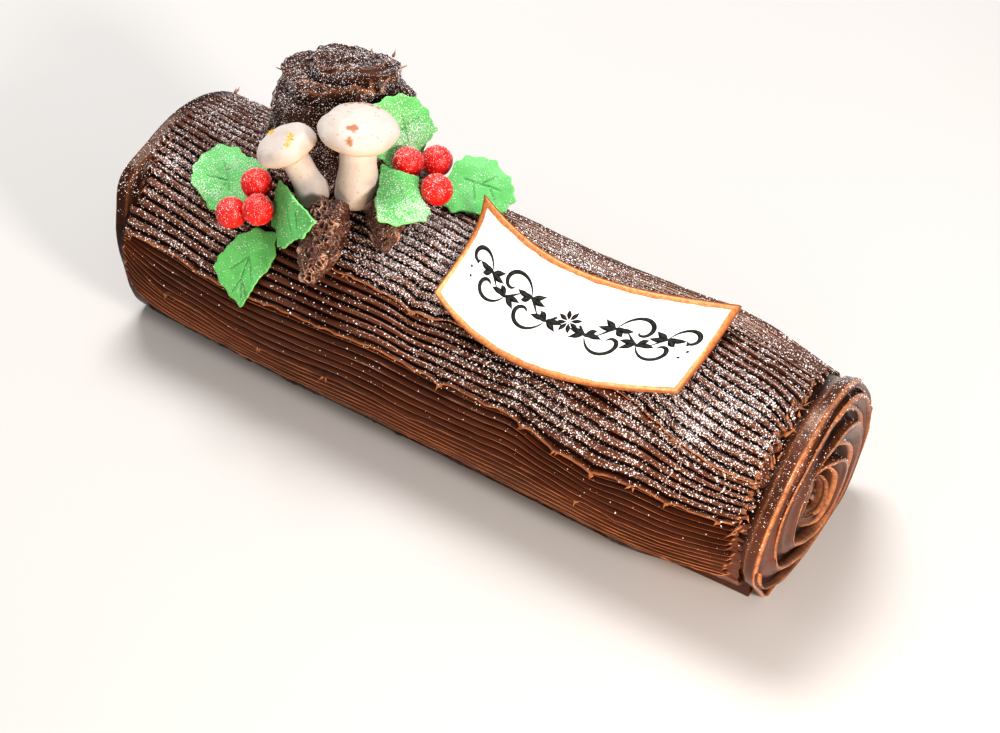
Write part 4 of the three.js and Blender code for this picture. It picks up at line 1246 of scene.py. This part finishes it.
def plaque():
    """Makes the curved plaque, its rim gilded."""
    shape = (PLAQUE_ROWS, PLAQUE_COLUMNS)
    s = np.broadcast_to(np.linspace(-1, 1, PLAQUE_COLUMNS), shape)
    t = np.broadcast_to(np.linspace(-1, 1, PLAQUE_ROWS)[:, None], shape)
    across, up = (1 - np.abs(s)) * PLAQUE["length"] / 2, (1 - np.abs(t)) * PLAQUE["width"] / 2
    rounding = 0.35 * (bump(across, 0, 0.6) + bump(up, 0, 0.6))
    swell = along(s * 55, 20, 4) * bump(up, 0, 1.5) + along(t * 22, 12, 5) * bump(across, 0, 1.5)
    top = plaque_point(s, t, -rounding) + swell[..., None] * [0.075, 0.05, 0.025]
    bottom = plaque_point(s, t, rounding - PLAQUE["thickness"])
    face = wrap_quads(*shape, closed=False)
    order = np.arange(s.size).reshape(shape)
    edge = np.concatenate([order[0, :-1], order[:-1, -1], order[-1, :0:-1], order[:0:-1, 0]])
    after = np.roll(edge, -1)
    side = np.stack([edge, edge + s.size, after + s.size, after], -1)
    quads = np.concatenate([face, face[:, ::-1] + s.size, side])
    skin = outward((np.stack([top, bottom]).reshape(-1, 3), quads, np.zeros((0, 3), int)))
    near = np.minimum(across, up)
    # Warm beige patches near the upper rim, and painted shade on the curled upper-left corner.
    smudge = 0.45 * (bump(s, -0.72, 0.1) + bump(s, 0.1, 0.12)) * bump(up, 3.5, 2.2) * (t > 0)
    warm = 0.55 * np.exp(-np.hypot(s + 0.98, (t - 1) * 0.6) / 0.16) + smudge
    brink = np.clip(1 - near / 0.45, 0, 1) * 0.75
    build(
        "plaque_icing", skin, PLAQUE_ICING, "plaque", ["plaque"],
        rim=np.stack([0.5 * (1 - near / 2.9) + 0.5, np.ones(shape)]),
        warm=np.stack([warm, np.zeros(shape)]), side=np.stack([brink, np.ones(shape)]),
    )


def on_plaque(path, above):
    """Points on the plaque from millimetres measured from its middle."""
    return plaque_point(2 * path[:, 0] / PLAQUE["length"], 2 * path[:, 1] / PLAQUE["width"], above)


def pointing(angle):
    return np.stack([np.cos(angle), np.sin(angle)], -1)


def brush_stroke(path, width):
    """A painted stroke: a thin raised ribbon along a path, thickest where width says."""
    heading = unit(np.gradient(path, axis=0))
    half = np.stack([-heading[:, 1], heading[:, 0]], -1) * (width / 2)[:, None]
    return loft(np.stack([
        on_plaque(path + half, STROKE_EDGE), on_plaque(path, STROKE_TOP),
        on_plaque(path - half, STROKE_EDGE), on_plaque(path, STROKE_FOOT),
    ], 1))


def scroll(start, heading, turns, size, width):
    """The path and the widths of a stroke that curls inwards."""
    t = np.linspace(0, 1, 44)
    angle = math.radians(heading) + turns * 2 * np.pi * t ** 1.25
    step = pointing(angle) * (size * (1 - 0.86 * t))[:, None]
    path = start + np.cumsum(step, 0) * (t[1] - t[0])
    return path, width * (0.18 + np.sin(np.pi * np.minimum(t * 1.05, 1)) ** 0.8)


def plaque_flourish():
    """An ornament drawn with a pen, alike on both sides of a star: waving stems with
    tendrils, leaflets and dots."""
    t = np.linspace(0, 1, 110)
    stem = np.stack([5.0 + 37.5 * t, 1.5 - 3.9 * np.sin(t * 11.4) * (1 - 0.25 * t)], -1)
    strokes = [(stem, 0.35 + 0.85 * np.abs(np.sin(t * 11.4 + 0.9)) ** 2)]
    span = np.linspace(0, 1, 16)[:, None]
    for number in range(TENDRILS):
        place = 0.10 + 0.8 * number / (TENDRILS - 1)
        side = 1 if number % 2 else -1
        start = stem[int(place * (len(t) - 1))]
        strokes.append(scroll(start, 66 * side, -side * 0.95, 46 - 12 * place ** 2, 1.5))
        for lean, length in LEAFLETS:
            tip = pointing(math.radians(-lean * side)) * length
            path = start + tip * span + np.array([-0.8, 1.4 * side]) * span ** 2
            strokes.append((path, 2.3 * np.sin(np.pi * span[:, 0]) ** 1.3 + 0.1))
    strokes += [(path * [-1, 1], width) for path, width in strokes]
    span = np.linspace(0, 1, 12)[:, None]
    for number in range(STAR_POINTS):
        heading = 2 * math.pi * (number + 0.5) / STAR_POINTS
        path = STAR_MIDDLE + pointing(heading) * (0.8 + 4.6 * span)
        strokes.append((path, 1.7 * np.sin(np.pi * span[:, 0]) ** 1.2 + 0.1))
    parts = [brush_stroke(path, width) for path, width in strokes]
    for middle in [*DOTS, *((-x, y) for x, y in DOTS)]:
        rings = [on_plaque(middle + pointing(circle(12)) * radius, height) for radius, height in DOT_RINGS]
        parts.append(loft(np.stack(rings)))
    build("plaque_flourish", merge(parts), INK, "plaque")


plaque()
plaque_flourish()

# --------------------------------------------------------------------- the leaves

RIDGE, LIP, GAP = 0.8, 1.3, 0.3          # what stands above LOG_RADIUS, and the space left
LEAF_THICKNESS = 1.3
LEAF_SPOKES = 128
BEND_WIDTH = 15.0
# From a leaf's middle over its edge and back below it, as (share of its reach, share
# of its thickness).
LEAF_STEPS = [
    *((share, 1) for share in np.linspace(0.04, 0.955, 25)),
    (0.975, 0.97), (0.99, 0.86), (0.998, 0.68), (1.0, 0.45), (0.995, 0.2), (0.98, 0.05), (0.94, 0),
    *((share, 0) for share in np.linspace(0.85, 0.08, 8)),
]


def ridge_top(angle):
    return LOG_RADIUS + RIDGE + LIP * rise(angle, 144, 154)


def leaf_reach(lobes, angle):
    """The outline's reach at each angle: full at the lobes, drawn in between them."""
    turns, reach = [], []
    for (at, far), (after, after_far) in zip(lobes, lobes[1:] + lobes[:1]):
        turns += [at, at + (after - at) % 360 * 0.5]
        reach += [far, (far + after_far) / 2 * 0.93]
    turns = np.array(turns + [turns[0] + 360])
    reach = np.array(reach + reach[:1])
    wrapped = (angle - turns[0]) % 360 + turns[0]
    i = np.clip(np.searchsorted(turns, wrapped, side="right") - 1, 0, len(turns) - 2)
    t = (wrapped - turns[i]) / (turns[i + 1] - turns[i])
    ease = np.where(reach[i + 1] > reach[i], t ** 1.2, 1 - (1 - t) ** 1.2)
    return reach[i] + (reach[i + 1] - reach[i]) * (0.25 * ease + 0.75 * smooth(t))


def stroke_depth(u, v, strokes, width):
    """How deep the lines pressed into a leaf are at (u, v); strokes are polylines."""
    depth = np.zeros_like(u)
    for stroke in strokes:
        for (u0, v0), (u1, v1) in zip(stroke, stroke[1:]):
            du, dv = u1 - u0, v1 - v0
            t = np.clip(((u - u0) * du + (v - v0) * dv) / (du * du + dv * dv), 0, 1)
            depth = np.maximum(depth, bump(np.hypot(u - u0 - t * du, v - v0 - t * dv), 0, width))
    return depth


def leaf(name, lobes, place, sugar, strokes, seed):
    """Makes a leaf, and gives its skin and how much sugar lies on it."""
    share, part = (np.array(values)[:, None] for values in zip(*LEAF_STEPS))
    angle = np.linspace(0, 360, LEAF_SPOKES, endpoint=False)
    reach = share * leaf_reach(lobes, angle)
    u, v = reach * np.cos(np.radians(angle)), reach * np.sin(np.radians(angle))
    pressed = 0.5 * stroke_depth(u, v, strokes, 0.34) * (part > 0.9)
    soft = stack(u, v, seed * 7.0)
    above = part * LEAF_THICKNESS + 0.28 * noise(soft, 6, seed) * (part > 0.6) - pressed
    middle = np.zeros(1)
    top, below = (place(middle, middle, middle, middle, middle + h)[0] for h in (LEAF_THICKNESS, 0))
    skin = loft(place(u, v, share, np.broadcast_to(angle, u.shape), above), top, below)
    # Painted highlight along the leaf's rim.
    light = np.broadcast_to(0.55 * rise(share, 0.965, 0.995) * (part > 0.3), u.shape)
    cover = sugar(u, v) * rise(share, 1, 0.97) * (part > 0.8) * (0.75 + 0.6 * noise(soft, 4, seed + 3))
    cover = with_ends(np.clip(cover, 0, 0.55))
    # The pressed veins carry painted shade.
    build(
        f"{name}_paste", skin, LEAF, "holly_leaf", [name],
        edge=with_ends(light), groove=with_ends(pressed), sugar=cover * 0.5,
    )
    return skin, cover


def draped(x, angle, turn, lift):
    """A leaf laid round the log, its tips lifted."""
    cos, sin = math.cos(math.radians(turn)), math.sin(math.radians(turn))

    def place(u, v, share, lobe, above):
        at = angle - np.degrees((u * sin + v * cos) / (LOG_RADIUS + 3))
        lifted = lift * share ** 2 * (1 + np.sin(np.radians(3 * lobe))) / 2
        return round_log(x + u * cos - v * sin, at, ridge_top(at) + GAP + lifted + above)

    return place


def clear_of_log(points, clearance):
    """The points, moved out to where they lie at least so far above the ridges."""
    y, z = points[..., 1], points[..., 2] - LOG_AXIS_HEIGHT
    grow = np.maximum(1, (ridge_top(angle_on_log(points)) + clearance) / np.hypot(y, z))
    return stack(points[..., 0], y * grow, z * grow + LOG_AXIS_HEIGHT)


def propped(centre, normal, tip, cup, wave, bend=(0, 0, 0)):
    """A leaf that stands free: its centre, the ways its face and tip point, how far its
    edge is cupped and waved, and how its side is bent."""
    up = unit(normal)
    forward = unit(tip - up * (up @ tip))
    across = np.cross(up, forward)

    def place(u, v, share, lobe, above):
        height = (cup + wave * np.sin(np.radians(3 * lobe))) * share ** 2 + above
        fold = (np.maximum(0, -v) / BEND_WIDTH) ** 1.5
        points = centre + forward * u[..., None] + across * v[..., None] + up * height[..., None]
        return clear_of_log(points + np.array(bend) * fold[..., None], GAP + above)

    return place


# Each leaf: its place, its lobes as (degrees, reach), how much sugar hides it at
# (u, v), and the veins pressed into it.
LEAVES = {
    "leaf_left_round": (
        draped(-114.4, 117, -91, 1.2),
        [[2, 14.8], [24, 16.4], [51, 17.3], [78, 16.9], [113, 17.2], [135, 20.2], [170, 13.8],
         [195, 17.2], [222, 19], [254, 16.6], [273, 16.4], [300, 15.4], [337, 12.5]],
        lambda u, v: 0.42 + 0 * u,
        [
            [(4, 5), (-3, -1)], [(-3, -1), (-9, -8)], [(-3, -1), (-11, 0)], [(0, 2), (2, -8)],
            [(0, 2), (7, 1)],
        ],
    ),
    "leaf_left_long": (
        draped(-87.3, 147.9, -83, 0.8),
        [[0, 17.8], [27, 10.5], [69, 7.8], [99, 10.3], [128, 15.6], [153, 20.5], [180, 18],
         [210, 15], [240, 13], [265, 14.2], [283, 15.6], [310, 15], [340, 15.7]],
        lambda u, v: 0.07 + 0 * u,
        [[(-5, 0), (2, -7)], [(-5, 0), (4, 4)], [(-5, 0), (5, -1)], [(5, -1), (12, -5)],
         [(5, -1), (13, 0)], [(5, -1), (12, 3)]],
    ),
    "leaf_left_folded": (
        propped([-70.4, -37.6, 101], [-0.4, -0.85, 0.36], [0.07, -0.41, -0.91], 0, 0.4, (-2.8, 5, -6)),
        [[0, 15.2], [36, 11.1], [65, 13.6], [85, 14.8], [101, 18.6], [113, 13.1], [144, 8.4],
         [192, 8.3], [217, 12.6], [229, 17], [248, 16], [259, 13.4], [278, 12.8], [291, 16.2],
         [307, 15.8], [323, 12.9], [343, 17.2]],
        lambda u, v: 0.05 + 0 * u,
        [[(-4, -3), (3, 1), (7, 5)], [(-2, 4), (4, 7)], [(0, -6), (6, -3)]],
    ),
    "leaf_right_back": (
        propped([-54, 21.8, 114], [0.75, -0.45, 0.48], [-0.3, 0.42, 0.86], -0.8, 0.8),
        [[8, 15.6], [32, 17], [54, 18.8], [101, 17], [129, 17.4], [150, 17.4], [176, 23],
         [203, 15.5], [229, 12.2], [249, 12.6], [269, 14.9], [284, 12.8], [305, 13.4], [336, 14.2]],
        lambda u, v: 0.24 + 0.5 * bump(np.hypot(u + 3, v), 0, 8),
        [[(6, 2), (-6, -1)], [(2, 1), (5, -6)], [(0, 0), (2, 8)]],
    ),
    "leaf_right_end": (
        propped([-16.1, 21.4, 101.8], [0.1, -0.45, 0.89], [0.99, 0.1, -0.06], -0.8, 0.7),
        [[0, 17.3], [18, 15], [38, 13.9], [62, 11.6], [84, 13.7], [110, 13.6], [138, 15.2],
         [158, 15.2], [194, 14.6], [230, 18], [252, 17.4], [266, 13.4], [306, 14], [339, 16.2]],
        lambda u, v: 0.10 + 0 * u,
        [[(-7, 0), (9, 1)], [(0, 0), (5, 6)], [(-3, 0), (1, -7)], [(4, 1), (9, -4)]],
    ),
    "leaf_right_front": (
        propped([-34.7, -9.5, 106.7], [0.34, 0.11, 0.93], [0.79, -0.57, -0.22], -0.6, 0.3),
        [[0, 12.3], [29, 13.7], [54, 13.2], [88, 9.8], [120, 11.4], [132, 17], [169, 15.8],
         [186, 19.6], [214, 12], [238, 10.8], [270, 12.8], [306, 18.3], [329, 15.6]],
        lambda u, v: 0.22 + 0.5 * smooth((u + 2) / 10),
        [[(-8, 1), (6, 0)], [(0, 0), (4, 6)]],
    ),
}

leaf_skins = [
    leaf(name, lobes, place, sugar, strokes, seed)
    for seed, (name, (place, lobes, sugar, strokes)) in enumerate(LEAVES.items(), 3)
]
frost("sugar_on_leaves", leaf_skins, 7500, 0.08, 0.22, slot="holly_leaf")

# --------------------------------------------------------- berries and their wires

BERRY_RADIUS, BERRY_UNEVEN = 6.7, 0.022
# Each berry's (x, angle round the log, millimetres from its axis), and the wires' foot.
BERRIES = {
    "berry_left_top": (-95.8, 115.3, 64.3), "berry_left_front": (-99.3, 129.4, 64.4),
    "berry_left_right": (-87.7, 124.4, 66.2), "berry_right_left": (-45.4, 80.5, 68.2),
    "berry_right_back": (-39, 69.1, 67.2), "berry_right_front": (-26.3, 86.5, 66.9),
}
WIRE_FOOT = (-44.0, 66.0, 56.6)
WIRE_RADIUS, WIRE_BOW = 0.5, np.array([0.4, -0.32, 0.56])


def berry(name, seed):
    """Makes a berry, and gives its skin and how much sugar lies on it."""
    centre = round_log(*BERRIES[name])
    a = circle(40)
    b = np.linspace(-np.pi / 2, np.pi / 2, 28)[1:-1, None]
    way = stack(np.cos(b) * np.cos(a), np.cos(b) * np.sin(a), np.sin(b))
    uneven = BERRY_UNEVEN * (noise(way * 1.6, 1, seed) + 0.35 * noise(way * 5, 1, seed + 1))
    end = np.array([0, 0, BERRY_RADIUS * 0.995])
    skin = loft(centre + way * (BERRY_RADIUS * (1 + uneven))[..., None], centre - end, centre + end)
    height = (skin[0][:, 2] - centre[2]) / BERRY_RADIUS
    cover = 0.05 + 0.4 * rise(height, -0.2, 1)
    build(f"{name}_paste", skin, BERRY, "holly_berry", [name], sugar=cover * 0.8)
    return skin, cover


def wire(name):
    """A thin bowed wire from a berry down to the foot of both wires."""
    foot, centre = round_log(*WIRE_FOOT), round_log(*BERRIES[name])
    start = centre + unit(foot - centre) * (BERRY_RADIUS - 0.3)
    t = np.linspace(0, 1, 14)[:, None]
    path = start + (foot - start) * t + WIRE_BOW * np.sin(np.pi * t)
    heading = unit(np.gradient(path, axis=0))
    side = unit(np.cross(heading, [0.31, 0.5, 0.8]))[:, None]
    other = np.cross(heading[:, None], side)
    a = circle(8)[:, None]
    return loft(path[:, None] + WIRE_RADIUS * (side * np.cos(a) + other * np.sin(a)))


berry_skins = [berry(name, seed) for seed, name in enumerate(BERRIES, 50)]
frost("sugar_on_berries", berry_skins, 2600, 0.07, 0.19, slot="holly_berry")
wires = merge([wire("berry_right_back"), wire("berry_right_front")])
build("berry_wires_bent", wires, WIRE, "wire", ["berry_wires"])

# ------------------------------------------------------------------ the mushrooms

# Heaps of yellow sugar on the small mushroom: (middle, spread, grains).
HEAPS = [
    ((-9.0, 3.0), 1.3, 60), ((6.2, -0.4), 1.2, 60), ((7.6, -3.2), 1.0, 45), ((8.0, -5.6), 0.8, 24),
    ((-6.5, 2.2), 0.9, 18),
]
# Rusty patches on the large mushroom: (middle, radius).
LARGE_PATCHES = [
    ((3.0, -8.6), 2.3), ((5.0, -13.8), 1.6), ((-9.6, 4.6), 1.1), ((-8.4, 6.6), 1.2),
    ((-6.2, 8.4), 1.2), ((-3.4, 9.6), 1.2), ((-0.4, 10.0), 1.1), ((2.4, 9.6), 1.0),
]
MUSHROOM_UNEVEN = 0.6


def turn_to(direction):
    """A rotation that takes +Z to a direction."""
    return np.array(Vector((0, 0, 1)).rotation_difference(Vector(direction)).to_matrix())


def lathe(knots, rows, around, seed):
    """A slightly uneven solid of revolution, its profile a rounded line through
    (radius, height) knots."""
    knots = np.array(knots)
    length = np.concatenate([[0], np.cumsum(np.linalg.norm(np.diff(knots, axis=0), axis=1))])
    at = np.linspace(0, length[-1], rows)
    radius, height = (through(at, list(zip(length, values)))[:, None] for values in knots.T)
    a = circle(around)
    grid = stack(radius * np.cos(a), radius * np.sin(a), height)
    push = MUSHROOM_UNEVEN * (noise(grid, 7, seed) + 0.3 * noise(grid, 2.5, seed + 1))
    return grid * (1 + push / np.maximum(np.linalg.norm(grid, axis=-1), 4))[..., None]


def mushroom_stem(name, base, direction, length, radius, dip, cap, seed):
    """Makes a stem, wide at its foot, that ends inside a cap of this radius."""
    waist, top = cap * 0.46, cap * 0.44
    knots = [
        (radius * 0.3, -0.6), (radius * 0.75, -0.5), (radius * 1.04, length * 0.06),
        (radius * 1.06, length * 0.2), (waist * 1.02, length * 0.48), (waist, length * 0.75),
        (top, length * 0.97), (top, length + dip * 0.6), (top * 0.4, length + dip * 0.7),
    ]
    skin = loft(lathe(knots, 44, 52, seed) @ turn_to(direction).T + base)
    away = skin[0] - base
    share = away @ direction / length
    # Painted shade at the stem's foot, at its top under the cap and on its right side.
    toast = 0.10 * rise(share, 0.12, -0.08) + 0.2 * rise(share, 0.9, 1)
    toast = toast + 0.06 * rise(away[:, 0] / radius, 0.1, 1)
    build(
        f"{name}_stem_icing", skin, MUSHROOM, "mushroom", [f"{name}_stem"],
        toast=toast, rust=np.zeros(len(toast)),
    )


def mushroom_cap(name, seat, direction, cap, rim, dip, dome, fullness, patches, seed):
    """Makes the cap, and gives its grid in its own frame and in place."""
    knots = [
        (0.25 * cap, -dip * 0.9), (0.6 * cap, -dip), (0.82 * cap, -dip * 1.1), (0.93 * cap, -dip * 0.6),
        (0.99 * cap, 0.2 * rim), (cap, dome * (0.2 + 0.08 * fullness)),
        ((0.92 + 0.05 * fullness) * cap, dome * 0.5), ((0.73 + 0.12 * fullness) * cap, dome * 0.78),
        ((0.45 + 0.13 * fullness) * cap, dome * 0.95), (0.22 * cap, dome * 1.02), (0.06 * cap, dome * 1.04),
    ]
    local = lathe(knots, 62, 80, seed)
    grid = local @ turn_to(direction).T + seat
    high, far = local[..., 2] / dome, np.hypot(local[..., 0], local[..., 1]) / cap
    # Tan just under the rim, toast and painted shade together, and painted shade on the underside.
    toast = 0.75 * bump(high, -0.16, 0.10) * rise(far, 0.7, 0.9) + 0.15 * rise(high, 0.4, -0.1)
    rust = np.zeros_like(toast)
    ragged = 1.2 * noise(local, 1.3, seed + 5) + 0.5 * noise(local, 0.6, seed + 6) + 9 * (high < 0.1)
    for (x, y), size in patches:
        away = np.hypot(local[..., 0] - x, local[..., 1] - y) + ragged
        rust = np.maximum(rust, rise(away, size, size - 0.6))
    build(
        f"{name}_cap_icing",
        loft(grid, seat - direction * dip * 0.9, seat + direction * dome * 1.04),
        MUSHROOM, "mushroom", [f"{name}_cap"], toast=with_ends(toast), rust=with_ends(rust),
    )
    return local, grid


def mushroom(name, foot, lean, length, cap, dome, fullness, slide, patches, seed):
    """Makes a mushroom; cap is its cap's radius and dome its height."""
    x, y = foot
    foot_radius, dip = cap * 0.5, cap * 0.12
    direction = unit(lean)
    level = LOG_AXIS_HEIGHT + math.sqrt((LOG_RADIUS + RIDGE) ** 2 - y * y)
    steepness = math.hypot(direction[0], direction[1] - y / LOG_RADIUS)
    base = np.array([x, y, level + GAP + foot_radius * steepness])
    mushroom_stem(name, base, direction, length, foot_radius, dip, cap, seed)
    seat = base + direction * (length + dip + GAP - 1.0) + slide
    return mushroom_cap(
        name, seat, direction, cap * 0.97, cap * 0.14, dip, dome, fullness, patches, seed + 4
    )


def crystals(local, grid):
    """Yellow sugar stuck in small heaps on the small mushroom."""
    skin, places, normals = grid_normals(grid), [], []
    for middle, spread, count in HEAPS:
        for _ in range(count):
            x, y = random.normal(middle, spread * 0.6)
            away = np.hypot(local[..., 0] - x, local[..., 1] - y) + 20 * (local[..., 2] < 1)
            nearest = np.unravel_index(np.argmin(away), away.shape)
            places.append(grid[nearest] + random.normal(0, 0.2, 3))
            normals.append(skin[nearest] * (1 if skin[nearest][2] > 0 else -1))
    grains(
        "yellow_crystals", np.array(places), np.array(normals), 0.22, 0.5,
        OCTAHEDRON, CRYSTAL, "mushroom",
    )


mushroom(
    "mushroom_large", foot=(-55.6, -11.5), lean=(-0.04, 0.1, 1), length=33, cap=17, dome=9,
    fullness=0, slide=(0, 0, -0.6), patches=LARGE_PATCHES, seed=70,
)
crystals(*mushroom(
    "mushroom_small", foot=(-70.6, -19), lean=(-0.48, -0.1, 1), length=25, cap=13, dome=7.4,
    fullness=1, slide=(-1.4, 0, -0.5), patches=[], seed=80,
))

# ----------------------------------------------------------------- the pine cones

CONE_HOLLOWS = 420
CONE_SPOKES, CONE_ROWS = 190, 128
CONE_SQUEEZE = [1, 1, 1.35]              # a cone's hollows are wider than they are long


def pine_cone(name, place, direction, length, radius, seed):
    """Makes a cone with a net of crests and wrinkles, and gives its skin and sugar."""
    share = (np.arange(CONE_ROWS) + 0.5)[:, None] / CONE_ROWS
    angle = circle(CONE_SPOKES)[None]
    belly = radius * np.sin(np.pi * (0.12 + 0.83 * share) ** 0.8) ** 0.75
    core = stack(belly * np.cos(angle), belly * np.sin(angle), length * (share - 0.5))
    spots = np.random.default_rng(seed).integers((CONE_ROWS, CONE_SPOKES), size=(CONE_HOLLOWS, 2))
    spots = core[spots[:, 0], spots[:, 1]] * CONE_SQUEEZE
    bent = core + 1.1 * stack(*(noise(core, 2.6, seed + k) for k in range(3)))
    apart = np.linalg.norm((bent * CONE_SQUEEZE)[:, :, None] - spots, axis=-1)
    near, next_near = np.moveaxis(np.partition(apart, 1)[..., :2], -1, 0)
    crest = np.clip(1 - (next_near - near) / 1.3, 0, 1) ** 1.3
    wrinkle = 1 - np.clip(3.2 * np.abs(noise(core, 3.0, seed + 8)), 0, 1)
    flake = np.maximum(crest, 0.85 * wrinkle) * (0.7 + 0.45 * noise(core, 3.4, seed + 3))
    push = 2.5 * (flake - 0.5) + 0.5 * rough(core, 1.5, seed + 5)
    way = unit(stack(np.cos(angle), np.sin(angle), 0.9 * (share - 0.5)))
    axis, centre = unit(direction), round_log(*place)
    grid = (core + way * push[..., None]) @ turn_to(axis).T + centre
    skin = loft(grid, centre - axis * length / 2, centre + axis * length / 2)
    # edge carries the painted highlight on the crests and hollow the painted shade between them.
    build(
        f"{name}_scales", skin, CONE, "pine_cone", [name],
        edge=with_ends(rise(flake, 0.62, 0.92)), hollow=with_ends(rise(flake, 0.3, 0)),
    )
    return skin, rise(skin_normals(skin)[:, 2], -0.2, 0.6) * (0.2 + 0.8 * with_ends(flake))


cone_skins = [
    pine_cone("cone_large", (-56, 125, 64.3), (6, -27, -20), 36, 9.7, 90),
    pine_cone("cone_small", (-36.8, 107, 62), (13, -20, -8), 27, 7.2, 95),
]
frost("sugar_on_cones", cone_skins, 500, 0.08, 0.2, slot="pine_cone")

# ------------------------------------------------------------------------ staging

FLOOR_SIZE, FLOOR_DROP = 6.0, 0.0003
# Soft lamps, in metres: place, target, size, watts and colour.
LIGHTS = {
    "overhead": ((-0.4, 0.38, 1.45), (0, 0, 0.05), (0.7, 0.5), 23.5, (1, 0.985, 0.96)),
    "side": ((-1.2, -0.7, 0.8), (0, 0, 0.05), (0.6, 0.6), 3.0, (0.97, 0.97, 1)),
    "warm_front": ((0.05, -0.75, 0.12), (0, 0, 0.03), (0.9, 0.2), 0.7, (1, 0.74, 0.46)),
    "right_fill": ((0.95, -0.35, 0.62), (0.14, 0, 0.06), (0.22, 0.22), 12, (1, 0.92, 0.86)),
    "gold_bounce": ((0.34, -0.30, 0.03), (0.16, 0, 0.05), (0.2, 0.05), 1.3, (1, 0.70, 0.38)),
}
SKY_COLOUR, SKY_STRENGTH = (0.98, 0.985, 1.0, 1), 0.34


def make_floor():
    """A wide floor just under the cake, for its shadow."""
    size = FLOOR_SIZE
    corners_at = [(-size, -size, 0), (size, -size, 0), (size, size, 0), (-size, size, 0)]
    mesh = bpy.data.meshes.new("floor")
    mesh.from_pydata(corners_at, [], [(0, 1, 2, 3)])
    mesh.materials.append(FLOOR)
    floor = bpy.data.objects.new("floor", mesh)
    floor.location.z = -FLOOR_DROP
    bpy.context.scene.collection.objects.link(floor)


def make_light():
    """The sky, the lamps and how the picture is toned."""
    world = bpy.data.worlds.new("studio")
    world.use_nodes = True
    background = world.node_tree.nodes["Background"]
    background.inputs["Color"].default_value = SKY_COLOUR
    background.inputs["Strength"].default_value = SKY_STRENGTH
    bpy.context.scene.world = world
    for name, (place, target, size, watts, colour) in LIGHTS.items():
        data = bpy.data.lights.new(name, "AREA")
        data.shape = "RECTANGLE"
        data.size, data.size_y = size
        data.energy = watts
        data.color = colour
        light = bpy.data.objects.new(name, data)
        light.location = place
        light.rotation_euler = (Vector(target) - Vector(place)).to_track_quat("-Z", "Y").to_euler()
        bpy.context.scene.collection.objects.link(light)
    view = bpy.context.scene.view_settings
    view.view_transform = "Standard"
    view.look = "Medium High Contrast"


make_floor()
make_light()
